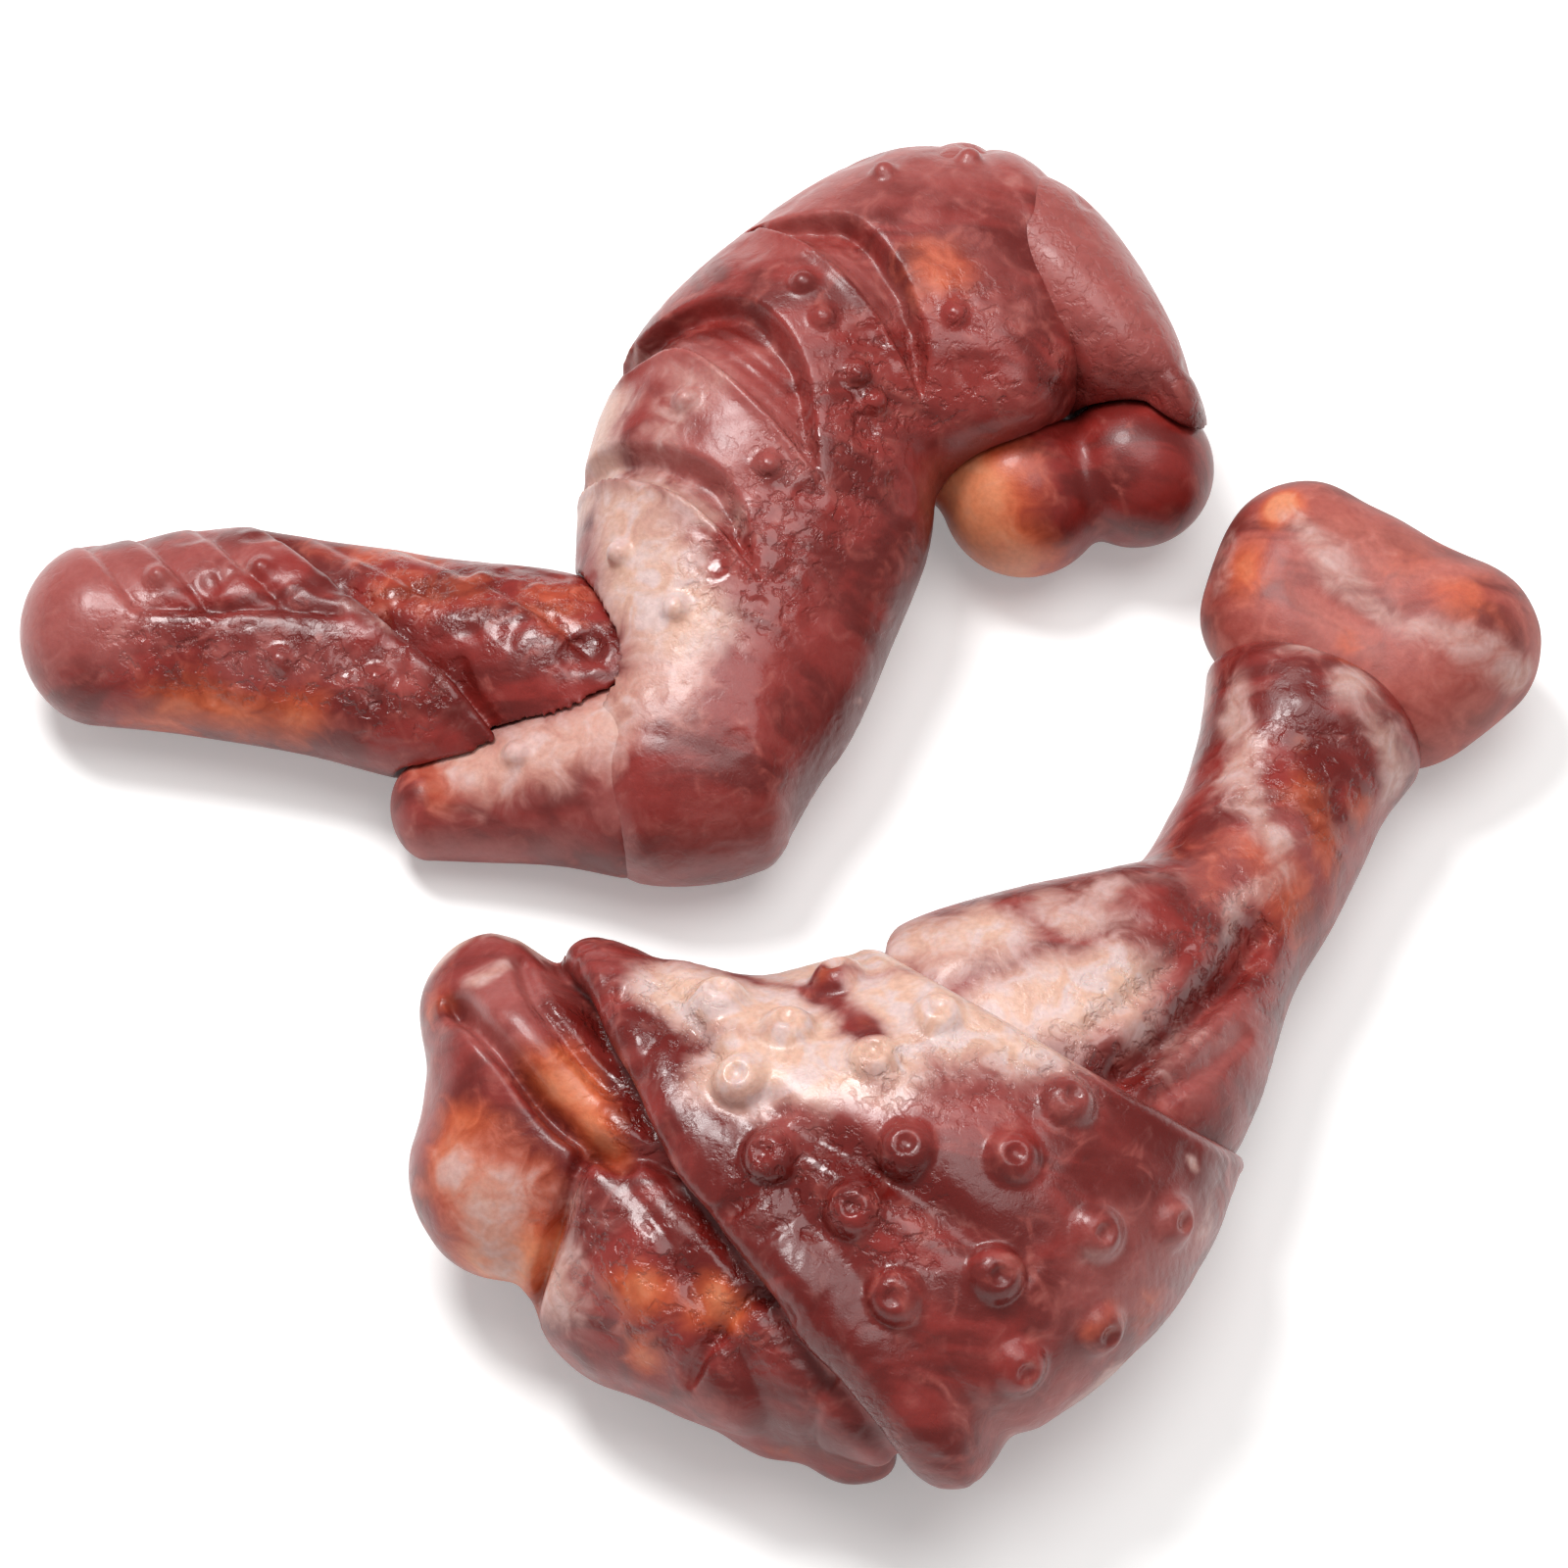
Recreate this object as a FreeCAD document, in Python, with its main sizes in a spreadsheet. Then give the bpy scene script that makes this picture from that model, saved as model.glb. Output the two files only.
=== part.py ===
import FreeCAD, Part
import math
import os

# A pair of moulded rubber poultry pieces: a drumstick and a wing.  Each one is
# a hollow rubber skin closed by its end pieces, with a squeaker in its floor.
# Millimetres.  +Z is up from the floor that both pieces lie on.  The origin is
# on the drumstick's flat rest face, under the middle of its thigh.

DIMENSIONS = {
    "skin_wall": 4.0,
    "lip_wall": 1.2,
    "rest_sink": 1.5,
    "running_gap": 0.6,
    "mouth_gap": 0.95,
    "seat_gap": 0.3,
    # drumstick
    "thigh_x": -14.0,
    "thigh_y": -3.0,
    "thigh_heading": 31.0,
    "thigh_length": 52.5,
    "thigh_half_across": 42.5,
    "thigh_half_up": 23.5,
    "shank_heading": 60.6,
    "shank_length": 55.0,
    "shank_half_up": 16.2,
    "knuckle_radius": 11.0,
    "knuckle_spread": 12.0,
    "knuckle_turn": 2.0,
    # wing
    "wing_x": -25.0,
    "wing_y": 61.5,
    "wing_heading": 59.6,
    "wing_length": 91.0,
    "wing_half_across": 23.0,
    "wing_half_up": 19.0,
    "tip_heading": 175.6,
    "tip_length": 77.7,
    "tip_half_across": 15.0,
    "tip_half_up": 12.0,
    "elbow_aside": 6.0,
    "elbow_forward": 20.5,
    "elbow_radius": 11.0,
    "elbow_rise": 0.5,
    "elbow_swing_room": 5.0,
    "knob_back": 3.0,
    "knob_forward": 5.0,
    "knob_heading": 189.2,
    "knob_length": 31.4,
    "knob_half_across": 11.0,
    "knob_half_up": 12.0,
    "ball_radius": 10.8,
    "ball_rise": 1.2,
    "small_ball_radius": 10.3,
    "small_ball_rise": 2.7,
    "ball_neck_radius": 6.0,
    "ball_neck_length": 22.0,
    "flap_half_length": 23.0,
    "flap_half_width": 9.0,
    "flap_half_up": 15.0,
    "flap_turn": -53.0,
    # squeakers
    "barrel_radius": 6.5,
    "barrel_wall": 1.0,
    "barrel_length": 16.0,
    "barrel_recess": 0.5,
    "sound_hole_radius": 1.5,
    "block_thickness": 3.0,
    "block_depth": 4.0,
    "slot_length": 6.0,
    "slot_width": 2.4,
    "clamp_length": 1.6,
    "clamp_height": 0.5,
    "reed_length": 8.0,
    "reed_width": 3.4,
    "reed_thickness": 0.25,
    "reed_gap": 0.15,
}

RESTING = "-Dimensions.rest_sink"
ROOM = 400.0  # side of the boxes that trim a solid, larger than any piece
SECTION_POINTS = 12

# Where each limb's centre line starts.
LIMB_START = {
    "thigh": ("Dimensions.thigh_x", "Dimensions.thigh_y"),
    "wing": ("Dimensions.wing_x", "Dimensions.wing_y"),
    "tip": ("Dimensions.wing_x - Dimensions.elbow_aside",
            "Dimensions.wing_y + Dimensions.elbow_forward"),
    "knob": ("Dimensions.wing_x - Dimensions.knob_back",
             "Dimensions.wing_y + Dimensions.knob_forward"),
}

# Sections of each limb: share of the length along it, sideways bow as a share
# of the length, turn of the section's width in degrees, shares of the limb's
# half width and half height, and the height of its underside above the floor.
KNEE = [
    (-0.265, 0.114, -56, 0.78, 0.72, "2.5"),
    (0.0, 0.0, -59, 1.0, 0.915, RESTING),
]
KNEE_SPIGOT = [
    (0.0, 0.0, -59, 1.0, 0.915, RESTING),
    (0.13, -0.08, -59, 0.81, 0.84, "-0.2"),
]
THIGH = [
    (0.0, 0.0, -59, 1.0, 0.915, RESTING),
    (0.26, -0.156, -58, 0.83, 1.0, RESTING),
    (0.55, -0.154, -53, 0.755, 1.0, RESTING),
    (0.83, -0.099, -47, 0.64, 0.915, RESTING),
    (1.0, 0.0, -42, 0.495, 0.81, RESTING),
]
SHANK_ROOT = [
    (-0.14, 0.012, -42, 0.93178, 1.006914, "1.2"),
]
SHANK = [
    (0.0, 0.0, -42, 1.0, 1.0, "1.3"),
    (0.185, -0.028, -38, 0.80, 0.86, "2.5"),
    (0.365, -0.055, -33, 0.70, 0.80, "2"),
    (0.633, -0.049, -24, 0.655, 0.735, "2.5"),
    (0.847, -0.024, -24, 0.675, 0.735, "2.5"),
    (1.0, 0.0, -27, 0.82, 0.765, "2"),
]
WING_LOW_END = [
    (-0.092, -0.016, -17, 0.25, 0.25, "5"),
    (-0.064, -0.012, -17, 0.42, 0.45, "1.5"),
]
WING = [
    (0.0, 0.0, -17, 0.535, 0.605, RESTING),
    (0.156, 0.027, -11, 0.73, 0.765, RESTING),
    (0.296, 0.071, -12, 0.87, 0.87, RESTING),
    (0.445, 0.121, -15, 1.0, 0.95, RESTING),
    (0.61, 0.154, -25, 0.95, 1.0, RESTING),
    (0.785, 0.129, -46, 0.865, 1.0, RESTING),
    (0.926, 0.071, -57, 0.815, 0.95, RESTING),
    (1.0, 0.0, -71, 0.57, 0.79, "3"),
]
WING_HIGH_END = [
    (1.037, -0.042, -75, 0.32, 0.45, "9"),
    (1.052, -0.058, -77, 0.12, 0.20, "13"),
]
TIP = [
    (0.0, 0.0, -92, 0.55, 0.70, "3"),
    (0.142, -0.002, -94, 0.73, 1.0, "0.5"),
    (0.322, 0.012, -97, 0.87, 0.96, "0.5"),
    (0.51, 0.0, -94, 0.965, 0.915, "0.5"),
    (0.698, -0.006, -91, 0.885, 0.875, "0.5"),
    (0.878, 0.003, -91, 0.68, 0.79, "1"),
    (0.955, 0.003, -90, 0.45, 0.55, "4"),
    (1.0, 0.0, -90, 0.13, 0.20, "8"),
]
KNOB = [
    (-0.19, 0.0, -80, 0.80, 0.80, "4"),
    (0.0, 0.0, -80, 1.0, 1.0, "2"),
    (0.255, 0.0, -80, 0.90, 0.88, "1.5"),
    (0.545, 0.0, -80, 0.68, 0.67, "1"),
    (0.805, 0.0, -80, 0.57, 0.52, "3"),
    (0.95, 0.0, -80, 0.38, 0.36, "4.8"),
    (1.0, 0.0, -80, 0.14, 0.14, "7.5"),
]

# Bulbs of the knee end: share of the thigh's length along it, share of its
# half width across it, height of the centre, radius.
KNEE_BULBS = [
    (-0.425, 0.54, 18.0, 14.0),
    (-0.255, 0.765, 24.0, 11.0),
    (-0.27, 0.035, 14.0, 14.5),
    (-0.20, -0.48, 11.5, 10.5),
]

# Lobes of the knuckle: side of the shank as a share of the knuckle's spread,
# millimetres ahead of the shank's end, height of the centre.
KNUCKLE_LOBES = [
    (-1, 11.5, 16),
    (1, 8.0, 15),
    (0, 2.0, 15),
]

# Places of the wing's two balls: share of its length along it, sideways bow of
# the centre line there, share of its half width to the side.
BALL_PLACE = (0.70, 0.145, -1.293696)
SMALL_BALL_PLACE = (0.812, 0.12, -1.614783)


def add_sheet(doc):
    """The spreadsheet of driving dimensions, one named cell for each."""
    sheet = doc.addObject("Spreadsheet::Sheet", "Dimensions")
    for row, (name, value) in enumerate(DIMENSIONS.items(), start=1):
        sheet.set(f"A{row}", name)
        sheet.set(f"B{row}", str(value))
        sheet.setAlias(f"B{row}", name)
    doc.recompute()


def size(name):
    return f"Dimensions.{name}"


def on_limb(limb, along, sideways):
    """Expressions for the x and y of a point on a limb's centre line, or beside it."""
    start_x, start_y = LIMB_START[limb]
    heading = f"Dimensions.{limb}_heading * 1deg"
    x = f"({start_x} + ({along}) * cos({heading}) - ({sideways}) * sin({heading}))"
    y = f"({start_y} + ({along}) * sin({heading}) + ({sideways}) * cos({heading}))"
    return x, y


def along_limb(limb, share, bow):
    length = f"Dimensions.{limb}_length"
    return on_limb(limb, f"{share} * {length}", f"{bow} * {length}")


LIMB_START["shank"] = along_limb("thigh", 1.0, 0.0)


def half_across(limb):
    """The shank fills the thigh's mouth, so its width follows the mouth's."""
    if limb == "shank":
        mouth_share = THIGH[-1][3]
        return (f"({mouth_share} * Dimensions.thigh_half_across"
                " - Dimensions.lip_wall - Dimensions.mouth_gap)")
    return f"Dimensions.{limb}_half_across"


def add_section(doc, name, limb, station, inset):
    """One oval section across a limb, drawn in by the inset all round.

    An ellipse primitive can't be taller than it is wide, so the oval is a smooth
    closed curve through points on the ellipse.
    """
    along, bow, turn, across_share, up_share, underside = station
    across = f"{across_share} * {half_across(limb)} - {inset}"
    up = f"{up_share} * Dimensions.{limb}_half_up"
    half_width = float(doc.Dimensions.evalExpression(across))
    half_height = float(doc.Dimensions.evalExpression(f"{up} - {inset}"))
    points = []
    for step in range(SECTION_POINTS):
        angle = 2 * math.pi * step / SECTION_POINTS
        points.append(FreeCAD.Vector(half_width * math.cos(angle),
                                     half_height * math.sin(angle), 0))
    oval = Part.BSplineCurve()
    oval.interpolate(Points=points, PeriodicFlag=True)
    section = doc.addObject("Part::Feature", name)
    section.Shape = Part.Wire(oval.toShape())
    x, y = along_limb(limb, along, bow)
    section.setExpression(
        "Placement",
        f"placement(vector({x}; {y}; {up} + {underside}); rotation({turn}; 0; 90))")
    return section


def add_limb(doc, name, limb, stations, inset="0", first_inset=None, last_inset=None):
    """A solid loft through a limb's sections, whose ends may have their own inset."""
    insets = [inset] * len(stations)
    insets[0] = first_inset or inset
    insets[-1] = last_inset or inset
    sections = []
    for number, station in enumerate(stations):
        sections.append(add_section(doc, f"{name}_{number}", limb, station, insets[number]))
    loft = doc.addObject("Part::Loft", name)
    loft.Sections = sections
    loft.Solid = True
    loft.MaxDegree = 3
    return loft


def add_sphere(doc, name, radius, x, y, z):
    ball = doc.addObject("Part::Sphere", name)
    ball.setExpression("Radius", radius)
    ball.setExpression("Placement", f"placement(vector({x}; {y}; {z}); rotation(0; 0; 0))")
    return ball


def add_cylinder(doc, name, radius, height, x, y, z):
    post = doc.addObject("Part::Cylinder", name)
    post.setExpression("Radius", radius)
    post.setExpression("Height", height)
    post.setExpression("Placement", f"placement(vector({x}; {y}; {z}); rotation(0; 0; 0))")
    return post


def add_box(doc, name, length, width, height, x, y, z, turn="0"):
    """A box whose corner is at x, y, z before it turns about that corner."""
    box = doc.addObject("Part::Box", name)
    box.setExpression("Length", length)
    box.setExpression("Width", width)
    box.setExpression("Height", height)
    box.setExpression("Placement", f"placement(vector({x}; {y}; {z}); rotation({turn}; 0; 0))")
    return box


def join(doc, name, pieces):
    fuse = doc.addObject("Part::MultiFuse", name)
    fuse.Shapes = pieces
    return fuse


def trim(doc, name, base, tools):
    """The base with every tool cut away, one after another."""
    for number, tool in enumerate(tools, start=1):
        last = number == len(tools)
        cut = doc.addObject("Part::Cut", name if last else f"{name}_cut_{number}")
        cut.Base = base
        cut.Tool = tool
        base = cut
    return base


def add_floor(doc, name):
    """The space below the floor, which flattens what rests on it."""
    half = ROOM / 2
    return add_box(doc, name, str(ROOM), str(ROOM), str(ROOM), -half, -half, -ROOM)


# ---------------------------------------------------------------- squeakers

def add_squeaker(doc, toy, x, y):
    """Barrel, reed block and reed, upright in the toy's floor at x, y."""
    bottom = size("barrel_recess")
    bore = "(Dimensions.barrel_radius - Dimensions.barrel_wall)"
    top = f"({bottom} + Dimensions.barrel_length)"
    name = toy + "_squeaker_"
    shell = add_cylinder(doc, name + "shell", size("barrel_radius"), size("barrel_length"),
                         x, y, bottom)
    chamber = add_cylinder(doc, name + "chamber", bore, size("barrel_length"),
                           x, y, f"{bottom} + Dimensions.barrel_wall")
    sound_hole = add_cylinder(doc, name + "sound_hole", size("sound_hole_radius"),
                              size("barrel_length"), x, y, "0")
    barrel = trim(doc, name + "barrel", shell, [chamber, sound_hole])

    block_top = f"({top} - Dimensions.block_depth)"
    block_bottom = f"({block_top} - Dimensions.block_thickness)"
    disc = add_cylinder(doc, name + "disc", bore, size("block_thickness"), x, y, block_bottom)
    reed_start = f"({x} - 0.5 * Dimensions.reed_length)"
    clamp = add_box(doc, name + "clamp", size("clamp_length"), size("reed_width"),
                    size("clamp_height"), reed_start, f"{y} - 0.5 * Dimensions.reed_width",
                    f"{block_bottom} - Dimensions.clamp_height")
    slot = add_box(doc, name + "slot", size("slot_length"), size("slot_width"),
                   size("block_thickness"), f"{reed_start} + Dimensions.clamp_length",
                   f"{y} - 0.5 * Dimensions.slot_width", block_bottom)
    solid_block = join(doc, name + "solid_block", [disc, clamp])
    block = trim(doc, name + "reed_block", solid_block, [slot])

    reed_top = f"({block_bottom} - Dimensions.clamp_height - Dimensions.reed_gap)"
    reed = add_box(doc, name + "reed", size("reed_length"), size("reed_width"),
                   size("reed_thickness"), reed_start, f"{y} - 0.5 * Dimensions.reed_width",
                   f"{reed_top} - Dimensions.reed_thickness")
    return barrel, block, reed


def squeaker_seat(doc, toy, x, y):
    """The hole in the skin's floor that the squeaker's barrel is bonded into."""
    return add_cylinder(doc, toy + "_squeaker_seat", size("barrel_radius"),
                        "Dimensions.barrel_recess + Dimensions.barrel_length", x, y, "0")


# ---------------------------------------------------------------- drumstick

def drumstick(doc):
    squeaker_x, squeaker_y = along_limb("thigh", 0.58, -0.12)
    barrel, block, reed = add_squeaker(doc, "drumstick", squeaker_x, squeaker_y)

    outside = add_limb(doc, "thigh_outside", "thigh", THIGH)
    hollow = add_limb(doc, "thigh_hollow", "thigh", THIGH,
                      size("skin_wall"), last_inset=size("lip_wall"))
    seat = squeaker_seat(doc, "drumstick", squeaker_x, squeaker_y)
    floor = add_floor(doc, "drumstick_floor")
    skin = trim(doc, "drumstick_skin", outside, [hollow, seat, floor])
    knee_plug = add_knee_plug(doc, floor)
    shank = add_limb(doc, "drumstick_shank", "shank", SHANK_ROOT + SHANK,
                     first_inset=size("skin_wall"))
    knuckle = add_knuckle(doc, shank)
    return [skin, knee_plug, shank, knuckle, barrel, block, reed]


def add_knee_plug(doc, floor):
    """The cut meat end: bulbs round a core, and a spigot into the skin's hem."""
    core = add_limb(doc, "knee_core", "thigh", KNEE)
    bulbs = []
    for number, (along, across, height, radius) in enumerate(KNEE_BULBS):
        x, y = on_limb("thigh", f"{along} * Dimensions.thigh_length",
                       f"{across} * Dimensions.thigh_half_across")
        bulbs.append(add_sphere(doc, f"knee_bulb_{number}", str(radius), x, y, str(height)))
    lump = join(doc, "knee_lump", [core] + bulbs)
    hem_turn = THIGH[0][2] + 90
    hem_x, hem_y = along_limb("thigh", 0.0, 0.0)
    skin_side = add_box(doc, "knee_skin_side", str(ROOM), str(ROOM), str(ROOM),
                        f"{hem_x} + {ROOM / 2} * sin({hem_turn}deg)",
                        f"{hem_y} - {ROOM / 2} * cos({hem_turn}deg)", -ROOM / 2, str(hem_turn))
    outer_lump = trim(doc, "knee_outer_lump", lump, [skin_side, floor])
    spigot = add_limb(doc, "knee_spigot", "thigh", KNEE_SPIGOT,
                      "(Dimensions.skin_wall + Dimensions.seat_gap)")
    return join(doc, "drumstick_knee_plug", [outer_lump, spigot])


def add_knuckle(doc, shank):
    """Two rounded lobes side by side across the shank's end, and one between them."""
    x, y = along_limb("shank", 1.06, 0.0)
    turn = "(Dimensions.shank_heading - 90 + Dimensions.knuckle_turn) * 1deg"
    lobes = []
    for number, (side, ahead, height) in enumerate(KNUCKLE_LOBES):
        across = f"{side} * Dimensions.knuckle_spread"
        lobe_x = f"{x} + {across} * cos({turn}) - {ahead} * sin({turn})"
        lobe_y = f"{y} + {across} * sin({turn}) + {ahead} * cos({turn})"
        lobes.append(add_sphere(doc, f"knuckle_lobe_{number}", size("knuckle_radius"),
                                lobe_x, lobe_y, str(height)))
    lump = join(doc, "knuckle_lump", lobes)
    return trim(doc, "drumstick_knuckle", lump, [shank])


# ---------------------------------------------------------------- wing

def add_elbow(doc, name, extra):
    """The rounded root that the wing's tip turns on."""
    x, y = LIMB_START["tip"]
    return add_sphere(doc, name, f"Dimensions.elbow_radius + {extra}", x, y,
                      "Dimensions.elbow_radius + Dimensions.elbow_rise")


def add_tip_bay(doc, name, wall):
    """The notch in the wing's side that leaves the tip room to swing."""
    x, y = LIMB_START["tip"]
    reach = f"(Dimensions.elbow_radius + Dimensions.running_gap + {wall})"
    return add_box(doc, name, str(ROOM),
                   f"2 * {reach} + Dimensions.elbow_swing_room", str(ROOM),
                   f"{x} + {wall} - {ROOM}", f"{y} - {reach}", -ROOM / 2)


def wing(doc):
    squeaker_x, squeaker_y = along_limb("wing", 0.60, 0.145)
    barrel, block, reed = add_squeaker(doc, "wing", squeaker_x, squeaker_y)
    floor = add_floor(doc, "wing_floor")
    gap = size("running_gap")

    outside = add_limb(doc, "wing_outside", "wing", WING_LOW_END + WING + WING_HIGH_END)
    full_hollow = add_limb(doc, "wing_full_hollow", "wing", WING, size("skin_wall"))
    elbow_boss = add_elbow(doc, "elbow_boss", size("skin_wall"))
    bay_wall = add_tip_bay(doc, "bay_wall", size("skin_wall"))
    hollow = trim(doc, "wing_hollow", full_hollow, [bay_wall, elbow_boss])
    elbow_socket = add_elbow(doc, "elbow_socket", gap)
    tip_bay = add_tip_bay(doc, "tip_bay", "0")
    seat = squeaker_seat(doc, "wing", squeaker_x, squeaker_y)
    neck_seat = add_ball_neck(doc, "ball_neck_seat", size("seat_gap"))
    skin = trim(doc, "wing_skin", outside,
                [tip_bay, floor, hollow, elbow_socket, neck_seat, seat])

    tip_arm = add_limb(doc, "tip_arm", "tip", TIP)
    elbow = add_elbow(doc, "elbow", "0")
    tip = join(doc, "wing_tip", [tip_arm, elbow])
    balls = add_ball_lump(doc)
    outer_balls = trim(doc, "outer_balls", balls, [outside])
    ball_plug = join(doc, "wing_ball_plug", [outer_balls, add_ball_neck(doc, "ball_neck", "0")])
    knob = add_knob(doc, outside, elbow_socket, tip_bay)
    flap = add_flap(doc, outside, balls)
    return [skin, tip, knob, flap, ball_plug, barrel, block, reed]


def ball_place(place):
    """Expressions for the x and y of a ball beside the wing's bowed centre line."""
    along, bow, aside = place
    return on_limb("wing", f"{along} * Dimensions.wing_length",
                   f"{bow} * Dimensions.wing_length + {aside} * Dimensions.wing_half_across")


def add_ball_neck(doc, name, extra):
    """The neck that holds the balls, through the side of the wing's skin."""
    x, y = ball_place(BALL_PLACE)
    neck = doc.addObject("Part::Cylinder", name)
    neck.setExpression("Radius", f"Dimensions.ball_neck_radius + {extra}")
    neck.setExpression("Height", "Dimensions.ball_neck_length")
    heading = "(Dimensions.wing_heading + 90)"
    neck.setExpression(
        "Placement",
        f"placement(vector({x}; {y}; Dimensions.ball_radius + Dimensions.ball_rise);"
        f" rotation({heading}; 90; 0))")
    return neck


def add_ball_lump(doc):
    balls = []
    for name, place in (("ball", BALL_PLACE), ("small_ball", SMALL_BALL_PLACE)):
        x, y = ball_place(place)
        balls.append(add_sphere(doc, name, size(f"{name}_radius"), x, y,
                                f"Dimensions.{name}_radius + Dimensions.{name}_rise"))
    return join(doc, "balls", balls)


def add_knob(doc, outside, elbow_socket, tip_bay):
    """The pointed thumb beside the elbow, kept clear of the tip."""
    whole = add_limb(doc, "whole_knob", "knob", KNOB)
    return trim(doc, "wing_wrist_knob", whole, [tip_bay, elbow_socket, outside])


def add_flap(doc, outside, balls):
    """The fold of skin over the shoulder, outside the wing and the balls."""
    x, y = on_limb("wing", "0.985 * Dimensions.wing_length",
                   "-0.5 * Dimensions.wing_half_across")
    whole = doc.addObject("Part::Ellipsoid", "whole_flap")
    whole.setExpression("Radius1", size("flap_half_up"))
    whole.setExpression("Radius2", size("flap_half_length"))
    whole.setExpression("Radius3", size("flap_half_width"))
    whole.Angle1 = -90
    whole.Angle2 = 90
    whole.setExpression(
        "Placement",
        f"placement(vector({x}; {y}; Dimensions.wing_half_up);"
        " rotation(Dimensions.flap_turn; 0; 0))")
    return trim(doc, "wing_shoulder_flap", whole, [outside, balls])


# ---------------------------------------------------------------- output

def check(doc, pieces):
    for item in doc.Objects:
        if "Invalid" in item.State or "Error" in item.State:
            raise RuntimeError(f"{item.Name} failed: {item.State}")
    for piece in pieces:
        if piece.Shape.isNull() or not piece.Shape.isValid():
            raise RuntimeError(f"{piece.Label} has no valid shape")


def main():
    doc = FreeCAD.newDocument("PoultryPieces")
    add_sheet(doc)
    pieces = drumstick(doc) + wing(doc)
    for piece in pieces:
        piece.Label = piece.Name
    doc.recompute()
    check(doc, pieces)
    os.makedirs("parts", exist_ok=True)
    for piece in pieces:
        piece.Shape.exportStep(f"parts/{piece.Label}.step")
        box = piece.Shape.BoundBox
        print(f"{piece.Label}: {len(piece.Shape.Solids)} solid, {piece.Shape.Volume / 1000:.2f} cm3, "
              f"x {box.XMin:.1f} to {box.XMax:.1f}, y {box.YMin:.1f} to {box.YMax:.1f}, "
              f"z {box.ZMin:.1f} to {box.ZMax:.1f}")


main()
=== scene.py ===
import math

import bpy
import numpy as np
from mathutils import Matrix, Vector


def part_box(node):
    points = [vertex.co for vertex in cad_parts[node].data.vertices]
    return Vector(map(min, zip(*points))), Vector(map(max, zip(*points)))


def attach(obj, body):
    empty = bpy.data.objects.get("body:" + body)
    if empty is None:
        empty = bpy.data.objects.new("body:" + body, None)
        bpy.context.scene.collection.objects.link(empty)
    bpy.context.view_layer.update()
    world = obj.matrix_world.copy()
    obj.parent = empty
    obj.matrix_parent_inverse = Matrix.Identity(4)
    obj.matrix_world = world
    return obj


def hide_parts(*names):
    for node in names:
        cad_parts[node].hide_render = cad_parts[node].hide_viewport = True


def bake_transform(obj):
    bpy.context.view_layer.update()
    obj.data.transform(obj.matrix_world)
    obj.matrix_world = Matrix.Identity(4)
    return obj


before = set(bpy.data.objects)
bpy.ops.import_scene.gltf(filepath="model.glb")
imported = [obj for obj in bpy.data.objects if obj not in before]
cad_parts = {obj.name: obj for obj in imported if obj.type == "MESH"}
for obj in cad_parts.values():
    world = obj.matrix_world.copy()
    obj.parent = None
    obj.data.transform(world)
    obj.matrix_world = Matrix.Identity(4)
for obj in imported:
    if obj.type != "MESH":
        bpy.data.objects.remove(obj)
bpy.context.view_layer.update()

import openvdb
from mathutils import Vector

# A pair of moulded rubber poultry pieces.  Every rubber piece is modelled here as
# a solid distance field in the row frame, in millimetres, and meshed once.
MM = 0.001
VOXEL = 0.43
MARGIN = 3.0
FLOOR_CLEARANCE = 0.15
NOISE_GAIN = 2.2
PIT_EDGE = 0.30
PIT_SLOPE = 0.60


# ------------------------------------------------------------------ camera

CAMERA_ELEVATION = math.radians(60)
CAMERA_DISTANCE = 1.5
VIEW_WIDTH = 0.2
SENSOR_WIDTH = 36.0
AIM = (-0.010, 0.0632, 0.015)


def add_camera():
    """A camera far off with a narrow view, looking down at the pair from the front."""
    data = bpy.data.cameras.new("view")
    data.sensor_width = SENSOR_WIDTH
    data.lens = SENSOR_WIDTH * CAMERA_DISTANCE / VIEW_WIDTH
    camera = bpy.data.objects.new("view", data)
    camera.location = (AIM[0],
                       AIM[1] - CAMERA_DISTANCE * math.cos(CAMERA_ELEVATION),
                       AIM[2] + CAMERA_DISTANCE * math.sin(CAMERA_ELEVATION))
    camera.rotation_euler = (math.pi / 2 - CAMERA_ELEVATION, 0, 0)
    bpy.context.scene.collection.objects.link(camera)
    bpy.context.scene.camera = camera


add_camera()


# ------------------------------------------------------------------ fields

class Grid:
    """A box of voxels, with x, y and z as arrays that broadcast together."""

    def __init__(self, low, high):
        self.low = np.array(low, float) - MARGIN
        self.count = np.ceil((np.array(high, float) + MARGIN - self.low) / VOXEL).astype(int) + 1
        axes = [self.low[k] + VOXEL * np.arange(self.count[k]) for k in range(3)]
        self.axes = axes
        self.x = axes[0][:, None, None].astype(np.float32)
        self.y = axes[1][None, :, None].astype(np.float32)
        self.z = axes[2][None, None, :].astype(np.float32)


def smooth_step(value):
    value = np.clip(value, 0.0, 1.0)
    return value * value * (3.0 - 2.0 * value)


def unite(first, second, soft):
    """The union of two fields, rounded where they meet."""
    share = np.clip(0.5 + 0.5 * (second - first) / soft, 0.0, 1.0)
    return second * (1 - share) + first * share - soft * share * (1 - share)


def cut(field, tool, soft):
    """The field without what the tool covers, rounded where they meet."""
    return -unite(-field, tool, soft)


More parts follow.
